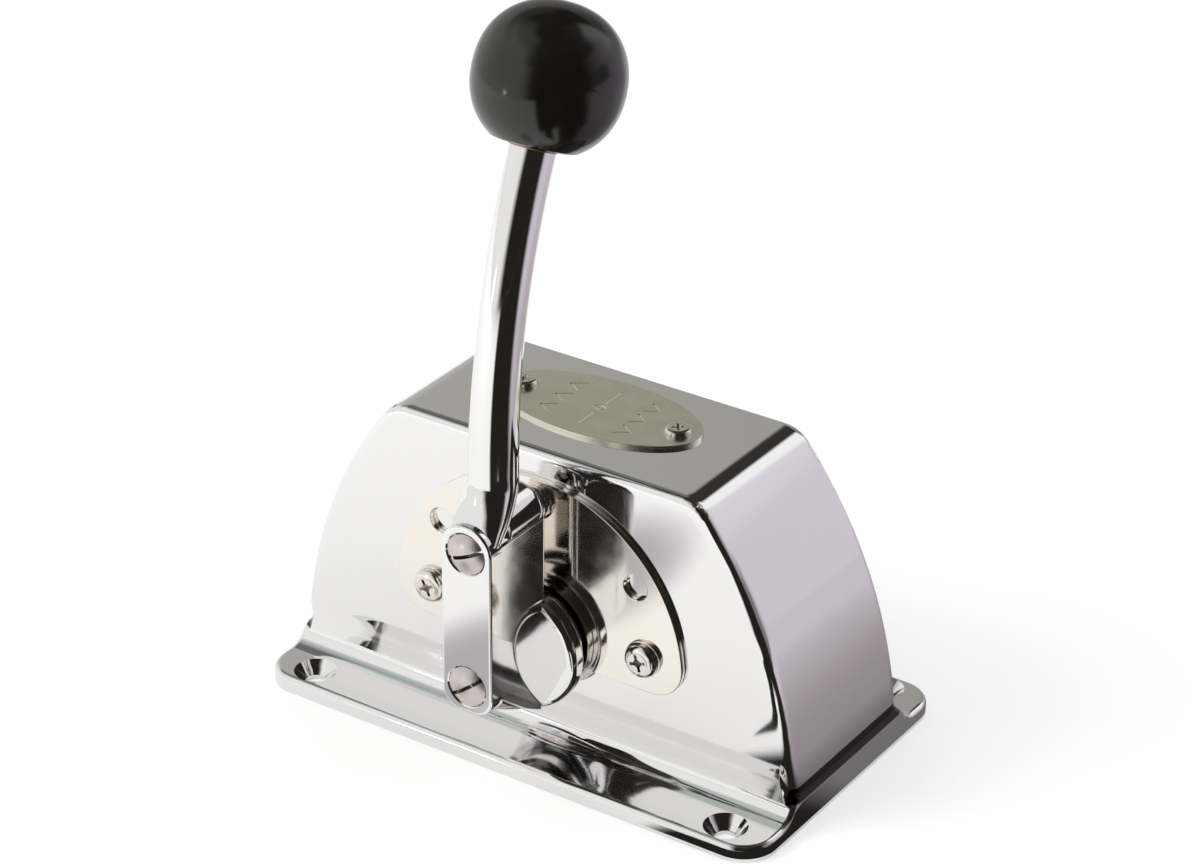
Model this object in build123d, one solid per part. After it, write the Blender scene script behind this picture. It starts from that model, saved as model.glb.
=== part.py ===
from build123d import *
import math
import os

# Boat throttle control: a lever on the front of a hollow cast housing turns a shaft,
# and inside the housing the shaft works a throttle crank and, through gears, a shift arm.
# Millimetres, +Z up, +X along the housing, -Y towards the lever.
# The origin is the centre of the underside of the base.

# Base flange
BASE_LENGTH = 190.0
BASE_DEPTH = 113.0
BASE_CORNER_RADIUS = 11.7
FLANGE_THICKNESS = 5.5
FLANGE_EDGE_RADIUS = 2.0
BASE_HOLE_MARGIN_X = 16.15
BASE_HOLE_MARGIN_Y = 8.8
BASE_HOLE_RADIUS = 3.5
BASE_COUNTERSINK_RADIUS = 7.05

# Housing shell
HOUSING_HEIGHT = 104.0
WALL = 4.0
FRONT_FACE_Y = -33.0
BACK_DRAFT_DEGREES = 2.0
FACE_TO_FLANGE_RADIUS = 8.0
HUMP_EDGE_RADIUS = 5.0
SHOULDER_RADIUS = 12.0
END_WALL_RADIUS = 158.5
END_WALL_CENTRE_Z = 2.0
FOOT_FLARE = 1.6
FOOT_LIP_HEIGHT = 10.5

# Shaft and its bush
SHAFT_Z = 40.0
SHAFT_RADIUS = 7.0
SHAFT_FLAT_HALF = 5.0
SHAFT_INNER_END_Y = 20.0
RUNNING_CLEARANCE = 0.05
FACE_CLEARANCE = 0.3
BUSH_RADIUS = 10.0
BUSH_FLANGE_RADIUS = 16.0
BUSH_FLANGE_THICKNESS = 3.0
SHAFT_BOSS_RADIUS = 15.0
SHAFT_BOSS_END_Y = -6.0

# Oval legend plate on the top
LEGEND_HALF_LENGTH = 36.4
LEGEND_HALF_WIDTH = 18.6
LEGEND_THICKNESS = 1.2
LEGEND_SCREW_X = 28.9
LEGEND_SCREW_HEAD_RADIUS = 4.5
LEGEND_SCREW_HEAD_HEIGHT = 2.8
LEGEND_SCREW_SHANK_RADIUS = 1.8
LEGEND_SCREW_LENGTH = 4.6

# Half-moon plate on the front
QUADRANT_RADIUS = 54.0
QUADRANT_CENTRE_Z = 41.5
QUADRANT_BOTTOM_Z = 33.4
QUADRANT_CORNER_RADIUS = 11.0
QUADRANT_THICKNESS = 2.0
QUADRANT_NOTCH_CLEARANCE = 1.0
QUADRANT_HOLE_RADIUS = 4.3
QUADRANT_HOLE_X = 36.5
QUADRANT_HOLE_Z = 69.2
QUADRANT_SIDE_SCREW_X = 40.1
QUADRANT_SIDE_SCREW_Z = 45.2
QUADRANT_TOP_SCREW_MARGIN = 7.5
QUADRANT_SCREW_HEAD_RADIUS = 6.2
QUADRANT_SCREW_HEAD_HEIGHT = 3.8
QUADRANT_SCREW_SHANK_RADIUS = 2.6
QUADRANT_SCREW_LENGTH = 7.0

# Arm: slab, hub disc and the conical flank between them
ARM_HALF_WIDTH = 9.0
ARM_TOP_Z = 91.0
ARM_BACK_Y = -42.1
ARM_EDGE_RADIUS = 2.4
HUB_RADIUS = 21.0
HUB_FRONT_Y = -45.6
HUB_BACK_Y = -39.5
HUB_FRONT_EDGE_RADIUS = 2.5
HUB_BACK_EDGE_RADIUS = 0.8
ARM_NOSE_RADIUS = 10.6
HUB_RING_RADIUS = 18.5
KEY_WIDTH = 4.0
KEY_HEIGHT = 3.0
KEY_LENGTH = 12.0

# Lever: tongue, neck and bent rod
TONGUE_FRONT_Y = -72.5
TONGUE_THICKNESS = 6.0
TONGUE_HALF_WIDTH = 9.2
TONGUE_BOTTOM_Z = 30.9
TONGUE_BOTTOM_CORNER = 6.5
TONGUE_TOP_Z = 96.0
TONGUE_EDGE_RADIUS = 1.2
NECK_FOOT_DEPTH = 4.8
NECK_LOWER_SIZE = (17.6, 9.6)
NECK_UPPER_SIZE = (15.6, 12.6)
ROD_RADIUS = 7.2
ROD_Y = -57.6
ROD_START_Z = 106.0
ROD_BEND_RADIUS = 250.0
ROD_BEND_DEGREES = 23.7
STUD_RADIUS = 4.0
STUD_LENGTH = 16.0
UPPER_SCREW_Z = 86.7
COUNTERSINK_RADIUS = 7.3
TONGUE_SCREW_SHANK_RADIUS = 3.0
TONGUE_SCREW_RISE = 1.6
TONGUE_SCREW_SINK = 0.8
SCREW_SLOT_WIDTH = 1.6
SCREW_SLOT_DEPTH = 1.7
UPPER_SCREW_LENGTH = 22.0
LOWER_SCREW_LENGTH = 30.0

# Ball knob
BALL_RADIUS = 23.1
BALL_FLAT_DISTANCE = 20.0
BALL_SQUARENESS = 2.15
BALL_STEPS = 12
BALL_FLAT_EDGE_RADIUS = 2.5
INSERT_RADIUS = 7.6
INSERT_LENGTH = 18.0
INSERT_SHOW = 0.8

# Gears and the parts on the inner end of the shaft
GEAR_MODULE = 2.0
DRIVE_TEETH = 18
SHIFT_TEETH = 27
PRESSURE_ANGLE = 20.0
GEAR_BACKLASH = 0.3
GEAR_WIDTH = 8.0
FLANK_STEPS = 4
SECTOR_HALF_DEGREES = 76.0
SECTOR_HOLE_DEGREES = 45.0
SECTOR_HOLE_PLACE = 19.0
SECTOR_HOLE_RADIUS = 3.0
WASHER_RADIUS = 13.0
WASHER_THICKNESS = 1.5
PART_GAP = 0.5
DETENT_RADIUS = 18.0
DETENT_WIDTH = 6.0
DETENT_ANGLE = 35.0
DETENT_NOTCH_DEPTH = 1.3
DETENT_BALL_RADIUS = 3.2
DETENT_POST_RADIUS = 7.0
DETENT_BORE_DEPTH = 22.0
CRANK_THICKNESS = 5.0
CRANK_LENGTH = 26.0
CRANK_HUB_RADIUS = 11.0
EYE_RADIUS = 6.5
CLIP_THICKNESS = 1.2
CLIP_RADIUS = 10.0
CLIP_GROOVE_DEPTH = 1.0

# Gear spindle and shift arm
SPINDLE_RADIUS = 5.0
SPINDLE_BOSS_RADIUS = 9.0
SHIFT_ARM_THICKNESS = 4.0
SHIFT_EYE_WALL_GAP = 12.072
SHIFT_ARM_HUB_RADIUS = 14.0
SHIFT_PIN_RADIUS = 2.0
SHIFT_PIN_OFFSET = 9.5

# Cable swivels
SWIVEL_PIN_RADIUS = 3.5
SWIVEL_HEAD_RADIUS = 6.0
SWIVEL_HEAD_LENGTH = 8.0
SWIVEL_CABLE_RADIUS = 1.6
SWIVEL_CLIP_RADIUS = 5.5

# Places that follow from the sizes above
PLATE_FRONT_Y = FRONT_FACE_Y - QUADRANT_THICKNESS
BUSH_FRONT_Y = FRONT_FACE_Y - BUSH_FLANGE_THICKNESS
TONGUE_BACK_Y = TONGUE_FRONT_Y + TONGUE_THICKNESS
INNER_FRONT_Y = FRONT_FACE_Y + WALL
END_WALL_FOOT_X = BASE_LENGTH / 2 - FOOT_FLARE
FOOT_FLARE_TOP = FLANGE_THICKNESS + FACE_TO_FLANGE_RADIUS
BASE_HOLE_SPACING_X = BASE_LENGTH - 2 * BASE_HOLE_MARGIN_X
BASE_HOLE_SPACING_Y = BASE_DEPTH - 2 * BASE_HOLE_MARGIN_Y
QUADRANT_TOP_SCREW_Z = QUADRANT_CENTRE_Z + QUADRANT_RADIUS - QUADRANT_TOP_SCREW_MARGIN
GEAR_CENTRES = GEAR_MODULE * (DRIVE_TEETH + SHIFT_TEETH) / 2
WASHER_Y = SHAFT_BOSS_END_Y + FACE_CLEARANCE
DRIVE_GEAR_Y = WASHER_Y + WASHER_THICKNESS
DETENT_Y = DRIVE_GEAR_Y + GEAR_WIDTH + PART_GAP
CRANK_Y = DETENT_Y + DETENT_WIDTH + PART_GAP
SHAFT_CLIP_Y = CRANK_Y + CRANK_THICKNESS
SHIFT_ARM_Y = DRIVE_GEAR_Y + GEAR_WIDTH
SPINDLE_CLIP_Y = SHIFT_ARM_Y + SHIFT_ARM_THICKNESS + FACE_CLEARANCE
THROTTLE_EYE_Z = SHAFT_Z - CRANK_LENGTH
DETENT_MIDDLE_Y = DETENT_Y + DETENT_WIDTH / 2
DETENT_BALL_Z = SHAFT_Z + DETENT_RADIUS + FACE_CLEARANCE + DETENT_BALL_RADIUS
DETENT_POST_BOTTOM = DETENT_BALL_Z - DETENT_BALL_RADIUS / 3
DETENT_BORE_RADIUS = DETENT_BALL_RADIUS + RUNNING_CLEARANCE
SCREW_BOSS_END_Y = PLATE_FRONT_Y + QUADRANT_SCREW_LENGTH + 1.0
SPINDLE_SEAT_Y = SCREW_BOSS_END_Y + 2.0
SHAFT_OUTER_END_Y = TONGUE_BACK_Y + 6.0
KEY_START_Y = SHAFT_OUTER_END_Y + 3.0
QUADRANT_SCREWS = [
    (-QUADRANT_SIDE_SCREW_X, QUADRANT_SIDE_SCREW_Z),
    (QUADRANT_SIDE_SCREW_X, QUADRANT_SIDE_SCREW_Z),
    (0.0, QUADRANT_TOP_SCREW_Z),
]


def along_y(sketch, y_start, y_end):
    """Extrude a sketch drawn in X and Z from y_start to y_end."""
    return extrude(Plane.XZ.offset(-y_end) * sketch, amount=y_end - y_start)


def rod_y(radius, y_start, y_end, x=0.0, z=0.0):
    """A round bar along Y, centred at x and z."""
    return along_y(Pos(x, z) * Circle(radius), y_start, y_end)


def bar_z(radius, z_start, z_end, x=0.0, y=0.0):
    """A round bar along Z, centred at x and y."""
    return Pos(x, y, z_start) * extrude(Circle(radius), amount=z_end - z_start)


def ring_y(outer, inner, y_start, y_end, x=0.0, z=0.0):
    """A round ring along Y, centred at x and z."""
    return along_y(Pos(x, z) * (Circle(outer) - Circle(inner)), y_start, y_end)


def cone_y(start_radius, end_radius, y_start, y_end, x=0.0, z=0.0):
    """A cone along Y, with start_radius at y_start."""
    outline = Polyline(
        (0, y_start), (start_radius, y_start), (end_radius, y_end), (0, y_end), close=True
    )
    return Pos(x, 0, z) * revolve(make_face(outline), Axis.Y)


# The knob's own plane: its origin is the end of the rod, its Z runs along the rod there
ROD_END_ANGLE = math.radians(ROD_BEND_DEGREES)
ROD_END = (
    0,
    ROD_Y + ROD_BEND_RADIUS * (1 - math.cos(ROD_END_ANGLE)),
    ROD_START_Z + ROD_BEND_RADIUS * math.sin(ROD_END_ANGLE),
)
KNOB_PLANE = Plane(
    origin=ROD_END, x_dir=(1, 0, 0), z_dir=(0, math.sin(ROD_END_ANGLE), math.cos(ROD_END_ANGLE))
)


# Housing


def end_wall_x(z, inset):
    """Half length of the housing at height z, drawn in by inset."""
    foot_height = FOOT_FLARE_TOP - END_WALL_CENTRE_Z
    centre_x = END_WALL_FOOT_X - math.sqrt(END_WALL_RADIUS**2 - foot_height**2)
    return centre_x + math.sqrt((END_WALL_RADIUS - inset) ** 2 - (z - END_WALL_CENTRE_Z) ** 2)


# The shift cable's eye hangs a set distance inside the end wall
SHIFT_EYE_X = end_wall_x(SHAFT_Z, WALL) - SHIFT_EYE_WALL_GAP
SHIFT_ARM_LENGTH = SHIFT_EYE_X - GEAR_CENTRES


def side_outline(inset):
    """The hump seen from the front; inset 0 is the outside, with its flared foot."""
    top = HOUSING_HEIGHT - inset
    middle_z = (FOOT_FLARE_TOP + top) / 2
    foot = (end_wall_x(FOOT_FLARE_TOP, inset), FOOT_FLARE_TOP)
    corner = (end_wall_x(top, inset), top)
    wall = ThreePointArc(foot, (end_wall_x(middle_z, inset), middle_z), corner)
    if inset:
        below = Polyline((0, 0), (foot[0], 0), foot)
    else:
        lip = (BASE_LENGTH / 2, FOOT_LIP_HEIGHT)
        below = Polyline((0, 0), (lip[0], 0), lip) + TangentArc(foot, lip, tangent=(0, -1))
    half = make_face(below + wall + Polyline(corner, (0, top), (0, 0)))
    shoulder = half.vertices().sort_by_distance((corner[0], corner[1], 0))[0]
    half = fillet(shoulder, SHOULDER_RADIUS - inset)
    return half + mirror(half, Plane.YZ)


def cross_outline(inset):
    """The housing seen from the end, with drafted back; inset 0 has the flanges too."""
    draft = math.tan(math.radians(BACK_DRAFT_DEGREES))
    front = FRONT_FACE_Y + inset
    top = HOUSING_HEIGHT - inset
    foot_z = 0 if inset else FLANGE_THICKNESS
    back_foot = -FRONT_FACE_Y - inset
    back_top = back_foot - draft * (top - foot_z)
    if inset:
        return make_face(
            Polyline((front, 0), (front, top), (back_top, top), (back_foot, 0), close=True)
        )
    edge = BASE_DEPTH / 2
    outline = make_face(
        Polyline(
            (-edge, 0), (-edge, foot_z), (front, foot_z), (front, top),
            (back_top, top), (back_foot, foot_z), (edge, foot_z), (edge, 0), close=True,
        )
    )
    feet = [
        outline.vertices().sort_by_distance((place, foot_z, 0))[0]
        for place in (front, back_foot)
    ]
    return fillet(feet, FACE_TO_FLANGE_RADIUS)


def hump_edges(body):
    """The edges that run over the hump, along its front face and its back face."""
    edges = []
    for edge in body.edges():
        box = edge.bounding_box()
        above_foot = box.min.Z > FOOT_FLARE_TOP - 0.1 and box.max.Z > FOOT_FLARE_TOP + 1
        if above_foot and box.size.Y < WALL:
            edges.append(edge)
    return edges


def flange_edges(body):
    """The outer top edges of the two flanges."""
    fillet_foot = -FRONT_FACE_Y + FACE_TO_FLANGE_RADIUS
    level = body.edges().filter_by_position(Axis.Z, FLANGE_THICKNESS, FLANGE_THICKNESS)
    return [edge for edge in level if abs(edge.center().Y) > fillet_foot + 1]


def make_housing():
    """Hollow cast housing: hump, flanges, countersunk holes and inner bosses."""
    plan = RectangleRounded(BASE_LENGTH, BASE_DEPTH, BASE_CORNER_RADIUS)
    hump = along_y(side_outline(0), -BASE_DEPTH / 2, BASE_DEPTH / 2)
    cross = extrude(Plane.YZ * cross_outline(0), amount=BASE_LENGTH / 2, both=True)
    body = hump & cross & extrude(plan, amount=HOUSING_HEIGHT)
    body = fillet(hump_edges(body), HUMP_EDGE_RADIUS)
    body = fillet(flange_edges(body), FLANGE_EDGE_RADIUS)
    hollow = along_y(side_outline(WALL), -BASE_DEPTH / 2, BASE_DEPTH / 2) & extrude(
        Plane.YZ * cross_outline(WALL), amount=BASE_LENGTH / 2, both=True
    )
    body -= hollow
    body += rod_y(SHAFT_BOSS_RADIUS, INNER_FRONT_Y, SHAFT_BOSS_END_Y, z=SHAFT_Z)
    body += rod_y(SPINDLE_BOSS_RADIUS, INNER_FRONT_Y, SHAFT_BOSS_END_Y, GEAR_CENTRES, SHAFT_Z)
    post_top = HOUSING_HEIGHT - WALL
    body += bar_z(DETENT_POST_RADIUS, DETENT_POST_BOTTOM, post_top, y=DETENT_MIDDLE_Y)
    bore_top = DETENT_POST_BOTTOM + DETENT_BORE_DEPTH
    body -= bar_z(DETENT_BORE_RADIUS, DETENT_POST_BOTTOM, bore_top, y=DETENT_MIDDLE_Y)
    body -= rod_y(BUSH_RADIUS, FRONT_FACE_Y, SHAFT_BOSS_END_Y, z=SHAFT_Z)
    body -= rod_y(SPINDLE_RADIUS, SPINDLE_SEAT_Y, SHAFT_BOSS_END_Y, GEAR_CENTRES, SHAFT_Z)
    for x, z in QUADRANT_SCREWS:
        body += rod_y(QUADRANT_SCREW_SHANK_RADIUS + WALL, INNER_FRONT_Y, SCREW_BOSS_END_Y, x, z)
        body -= rod_y(QUADRANT_SCREW_SHANK_RADIUS, FRONT_FACE_Y, SCREW_BOSS_END_Y, x, z)
    for x in (-LEGEND_SCREW_X, LEGEND_SCREW_X):
        screw_tip = HOUSING_HEIGHT + LEGEND_THICKNESS - LEGEND_SCREW_LENGTH
        body -= bar_z(LEGEND_SCREW_SHANK_RADIUS, screw_tip, HOUSING_HEIGHT, x)
    flange_top = Plane.XY.offset(FLANGE_THICKNESS)
    for spot in GridLocations(BASE_HOLE_SPACING_X, BASE_HOLE_SPACING_Y, 2, 2):
        body -= flange_top * spot * CounterSinkHole(
            BASE_HOLE_RADIUS, BASE_COUNTERSINK_RADIUS, depth=FLANGE_THICKNESS
        )
    return body


# Plates and their screws


def pan_screw(head_radius, head_height, shank_radius, length):
    """Cross-recess pan head screw pointing down, with its head's seat at the origin."""
    rim = head_height * 0.35
    shoulder = (head_radius * 0.72, head_height * 0.86)
    profile = Polyline((0, head_height), (0, -length), (shank_radius, -length), (shank_radius, 0))
    profile += Polyline((shank_radius, 0), (head_radius, 0), (head_radius, rim))
    profile += ThreePointArc((head_radius, rim), shoulder, (0, head_height))
    screw = revolve(Plane.XZ * make_face(profile), Axis.Z)
    arm = head_radius * 1.05
    slot = Box(arm, head_radius * 0.2, head_height * 0.9)
    return screw - Pos(0, 0, head_height) * (slot + Rot(0, 0, 90) * slot)


def make_legend_plate():
    """Oval plate that lies on the flat top of the housing."""
    plate = extrude(Ellipse(LEGEND_HALF_LENGTH, LEGEND_HALF_WIDTH), amount=LEGEND_THICKNESS)
    for x in (-LEGEND_SCREW_X, LEGEND_SCREW_X):
        plate -= bar_z(LEGEND_SCREW_SHANK_RADIUS, 0, LEGEND_THICKNESS, x)
    return Pos(0, 0, HOUSING_HEIGHT) * plate


def make_quadrant_plate():
    """Half-moon plate on the front face, notched round the bush, with two open holes."""
    outline = Pos(0, QUADRANT_CENTRE_Z) * Circle(QUADRANT_RADIUS)
    below = Pos(0, QUADRANT_BOTTOM_Z) * Rectangle(
        3 * QUADRANT_RADIUS, 2 * QUADRANT_RADIUS, align=(Align.CENTER, Align.MAX)
    )
    outline -= below
    outline = fillet(outline.vertices().group_by(Axis.Y)[0], QUADRANT_CORNER_RADIUS)
    outline -= Pos(0, SHAFT_Z) * Circle(BUSH_FLANGE_RADIUS + QUADRANT_NOTCH_CLEARANCE)
    for x in (-QUADRANT_HOLE_X, QUADRANT_HOLE_X):
        outline -= Pos(x, QUADRANT_HOLE_Z) * Circle(QUADRANT_HOLE_RADIUS)
    for x, z in QUADRANT_SCREWS:
        outline -= Pos(x, z) * Circle(QUADRANT_SCREW_SHANK_RADIUS)
    return along_y(outline, PLATE_FRONT_Y, FRONT_FACE_Y)


# Lever, arm and shaft


def shaft_section(radius=SHAFT_RADIUS):
    """Round section with two flats, for the inner end of the shaft."""
    return Pos(0, SHAFT_Z) * (Circle(radius) & Rectangle(2 * SHAFT_FLAT_HALF, 4 * radius))


def make_shaft_bush():
    """Flanged bush pressed into the front wall."""
    bore = SHAFT_RADIUS + RUNNING_CLEARANCE
    sleeve = ring_y(BUSH_RADIUS, bore, FRONT_FACE_Y, SHAFT_BOSS_END_Y, z=SHAFT_Z)
    return sleeve + ring_y(BUSH_FLANGE_RADIUS, bore, BUSH_FRONT_Y, FRONT_FACE_Y, z=SHAFT_Z)


def make_main_shaft():
    """Shaft: keyed and tapped outside, flats and a clip groove inside."""
    shaft = rod_y(SHAFT_RADIUS, SHAFT_OUTER_END_Y, WASHER_Y, z=SHAFT_Z)
    shaft += along_y(shaft_section(), WASHER_Y, SHAFT_INNER_END_Y)
    screw_tip = TONGUE_FRONT_Y + TONGUE_SCREW_SINK + LOWER_SCREW_LENGTH
    shaft -= rod_y(TONGUE_SCREW_SHANK_RADIUS, SHAFT_OUTER_END_Y, screw_tip, z=SHAFT_Z)
    groove_floor = SHAFT_RADIUS - CLIP_GROOVE_DEPTH
    shaft -= ring_y(
        SHAFT_RADIUS + 1, groove_floor, SHAFT_CLIP_Y, SHAFT_CLIP_Y + CLIP_THICKNESS, z=SHAFT_Z
    )
    return shaft - make_shaft_key()


def make_shaft_key():
    """Flat key half in the shaft and half in the arm."""
    key = Box(KEY_WIDTH, KEY_LENGTH, KEY_HEIGHT)
    return Pos(0, KEY_START_Y + KEY_LENGTH / 2, SHAFT_Z + SHAFT_RADIUS) * key


def make_arm():
    """Arm block with its hub disc; the lower half grows as a cone towards the hub."""
    length = ARM_BACK_Y - TONGUE_BACK_Y
    block = Pos(0, TONGUE_BACK_Y, SHAFT_Z) * Box(
        2 * ARM_HALF_WIDTH, length, ARM_TOP_Z - SHAFT_Z, align=(Align.CENTER, Align.MIN, Align.MIN)
    )
    back_corners = block.edges().filter_by(Axis.Z).group_by(Axis.Y)[-1]
    top_sides = block.edges().filter_by(Axis.Y).group_by(Axis.Z)[-1]
    top_back = block.edges().filter_by(Axis.X).group_by(Axis.Y)[-1].sort_by(Axis.Z)[-1]
    block = fillet(back_corners + top_sides + [top_back], ARM_EDGE_RADIUS)
    nose = cone_y(ARM_NOSE_RADIUS, HUB_RADIUS, TONGUE_BACK_Y, HUB_FRONT_Y, z=SHAFT_Z)
    slab = Pos(0, TONGUE_BACK_Y, SHAFT_Z) * Box(
        2 * ARM_HALF_WIDTH, length, 4 * HUB_RADIUS, align=(Align.CENTER, Align.MIN, Align.CENTER)
    )
    hub = rod_y(HUB_RADIUS, HUB_FRONT_Y, HUB_BACK_Y, z=SHAFT_Z)
    rims = hub.edges().filter_by(GeomType.CIRCLE).sort_by(Axis.Y)
    hub = fillet(rims[0], HUB_FRONT_EDGE_RADIUS)
    hub = fillet(hub.edges().filter_by(GeomType.CIRCLE).sort_by(Axis.Y)[-1], HUB_BACK_EDGE_RADIUS)
    arm = block + (nose & slab) + hub
    arm -= rod_y(SHAFT_RADIUS, SHAFT_OUTER_END_Y, HUB_BACK_Y, z=SHAFT_Z)
    arm -= rod_y(TONGUE_SCREW_SHANK_RADIUS, TONGUE_BACK_Y, SHAFT_OUTER_END_Y, z=SHAFT_Z)
    upper_tip = TONGUE_FRONT_Y + TONGUE_SCREW_SINK + UPPER_SCREW_LENGTH
    arm -= rod_y(TONGUE_SCREW_SHANK_RADIUS, TONGUE_BACK_Y, upper_tip, z=UPPER_SCREW_Z)
    keyway = Box(
        KEY_WIDTH, HUB_BACK_Y - KEY_START_Y, KEY_HEIGHT, align=(Align.CENTER, Align.MIN, Align.CENTER)
    )
    return arm - Pos(0, KEY_START_Y, SHAFT_Z + SHAFT_RADIUS) * keyway


def neck_section(z, y, size):
    """Oval section of the neck at height z, centred at y."""
    return Plane.XY.offset(z) * Pos(0, y) * Ellipse(size[0] / 2, size[1] / 2)


def make_lever():
    """One forging: flat tongue, neck that steps back, bent round rod and threaded stud."""
    outline = Pos(0, TONGUE_BOTTOM_Z) * Rectangle(
        2 * TONGUE_HALF_WIDTH, TONGUE_TOP_Z - TONGUE_BOTTOM_Z, align=(Align.CENTER, Align.MIN)
    )
    outline = fillet(outline.vertices().group_by(Axis.Y)[0], TONGUE_BOTTOM_CORNER)
    outline = fillet(outline.vertices().group_by(Axis.Y)[-1], 0.92 * TONGUE_HALF_WIDTH)
    tongue = along_y(outline, TONGUE_FRONT_Y, TONGUE_BACK_Y)
    front = tongue.faces().sort_by(Axis.Y)[0]
    tongue = fillet(front.edges(), TONGUE_EDGE_RADIUS)
    foot_z = ARM_TOP_Z + FACE_CLEARANCE
    rise = ROD_START_Z - foot_z
    foot_y = TONGUE_BACK_Y - NECK_FOOT_DEPTH / 2
    step = ROD_Y - foot_y
    rod_size = (2 * ROD_RADIUS, 2 * ROD_RADIUS)
    neck = loft(
        [
            neck_section(foot_z, foot_y, (2 * TONGUE_HALF_WIDTH - 1, NECK_FOOT_DEPTH)),
            neck_section(foot_z + 0.29 * rise, foot_y + 0.32 * step, NECK_LOWER_SIZE),
            neck_section(foot_z + 0.66 * rise, foot_y + 0.72 * step, NECK_UPPER_SIZE),
            neck_section(ROD_START_Z, ROD_Y, rod_size),
        ]
    )
    path = Line((0, ROD_Y, ROD_START_Z - 1.0), (0, ROD_Y, ROD_START_Z))
    bend = [rod_point(angle) for angle in (0, ROD_BEND_DEGREES / 2, ROD_BEND_DEGREES)]
    path += ThreePointArc(*bend)
    rod = sweep(Plane.XY.offset(ROD_START_Z - 1.0) * Pos(0, ROD_Y) * Circle(ROD_RADIUS), path=path)
    stud = KNOB_PLANE * extrude(Circle(STUD_RADIUS), amount=STUD_LENGTH)
    lever = tongue + neck + rod + stud
    for z in (SHAFT_Z, UPPER_SCREW_Z):
        lever -= tongue_screw_hole(z)
    return lever


def rod_point(degrees):
    """Point on the rod's centre line, so many degrees along its bend."""
    angle = math.radians(degrees)
    along_bend = ROD_BEND_RADIUS * (1 - math.cos(angle))
    return (0, ROD_Y + along_bend, ROD_START_Z + ROD_BEND_RADIUS * math.sin(angle))


def tongue_screw_hole(z):
    """Countersunk hole through the tongue."""
    depth = COUNTERSINK_RADIUS - TONGUE_SCREW_SHANK_RADIUS
    cone = cone_y(COUNTERSINK_RADIUS, TONGUE_SCREW_SHANK_RADIUS, TONGUE_FRONT_Y, TONGUE_FRONT_Y + depth, z=z)
    return cone + rod_y(TONGUE_SCREW_SHANK_RADIUS, TONGUE_FRONT_Y, TONGUE_BACK_Y, z=z)


def make_tongue_screw(z, length, slot_degrees):
    """Slotted raised countersunk screw, a little below the face of the tongue."""
    face = TONGUE_FRONT_Y + TONGUE_SCREW_SINK
    head_radius = COUNTERSINK_RADIUS - TONGUE_SCREW_SINK
    depth = head_radius - TONGUE_SCREW_SHANK_RADIUS
    screw = cone_y(head_radius, TONGUE_SCREW_SHANK_RADIUS, face, face + depth, z=z)
    screw += rod_y(TONGUE_SCREW_SHANK_RADIUS, face, face + length, z=z)
    sphere_radius = (head_radius**2 + TONGUE_SCREW_RISE**2) / (2 * TONGUE_SCREW_RISE)
    dome = Pos(0, face - TONGUE_SCREW_RISE + sphere_radius, z) * Sphere(sphere_radius)
    screw += dome & rod_y(head_radius, face - TONGUE_SCREW_RISE, face, z=z)
    slot = Box(3 * head_radius, 2 * SCREW_SLOT_DEPTH, SCREW_SLOT_WIDTH)
    return screw - Pos(0, face - TONGUE_SCREW_RISE, z) * Rot(0, -slot_degrees, 0) * slot


# Ball knob


def make_ball_knob():
    """Slightly square-shouldered ball with a flat where the rod enters."""
    power = 2 / BALL_SQUARENESS
    outline = []
    for step in range(BALL_STEPS + 1):
        angle = math.radians(-90 + 180 * step / BALL_STEPS)
        x = BALL_RADIUS * math.cos(angle) ** power if step % BALL_STEPS else 0.0
        z = math.copysign(BALL_RADIUS * abs(math.sin(angle)) ** power, angle)
        outline.append((x, z))
    profile = make_face(Spline(*outline) + Line(outline[-1], outline[0]))
    profile &= Pos(0, -BALL_FLAT_DISTANCE) * Rectangle(
        3 * BALL_RADIUS, 3 * BALL_RADIUS, align=(Align.CENTER, Align.MIN)
    )
    rim = profile.vertices().sort_by(Axis.Y)[:2].sort_by(Axis.X)[-1]
    profile = fillet(rim, BALL_FLAT_EDGE_RADIUS)
    ball = revolve(Plane.XZ * profile, Axis.Z)
    ball = Pos(0, 0, BALL_FLAT_DISTANCE + INSERT_SHOW) * ball
    return KNOB_PLANE * (ball - bar_z(INSERT_RADIUS, 0, INSERT_LENGTH))


def make_knob_insert():
    """Brass insert moulded into the ball, tapped for the stud."""
    insert = bar_z(INSERT_RADIUS, 0, INSERT_LENGTH) - bar_z(STUD_RADIUS, 0, STUD_LENGTH)
    return KNOB_PLANE * insert


# Gears, detent and crank


def gear_outline(teeth):
    """Involute spur gear outline, with a tooth centred on +X."""
    pitch = GEAR_MODULE * teeth / 2
    pressure = math.radians(PRESSURE_ANGLE)
    base = pitch * math.cos(pressure)
    root = pitch - 1.25 * GEAR_MODULE
    tip = pitch + GEAR_MODULE
    half_tooth = math.pi / (2 * teeth) - GEAR_BACKLASH / (2 * pitch)
    half_base = half_tooth + math.tan(pressure) - pressure
    start = max(base, root)
    radii = [start + (tip - start) * step / FLANK_STEPS for step in range(FLANK_STEPS + 1)]
    flank = [(root, half_base)] if root < base else []
    for radius in radii:
        roll = math.acos(min(1.0, base / radius))
        flank.append((radius, half_base - math.tan(roll) + roll))
    points = []
    for tooth in range(teeth):
        middle = 2 * math.pi * tooth / teeth
        points += [polar(radius, middle - angle) for radius, angle in flank]
        points += [polar(radius, middle + angle) for radius, angle in reversed(flank)]
    return make_face(Polyline(*points, close=True))


def polar(radius, angle):
    """Point at a radius and an angle in radians."""
    return (radius * math.cos(angle), radius * math.sin(angle))


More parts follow.
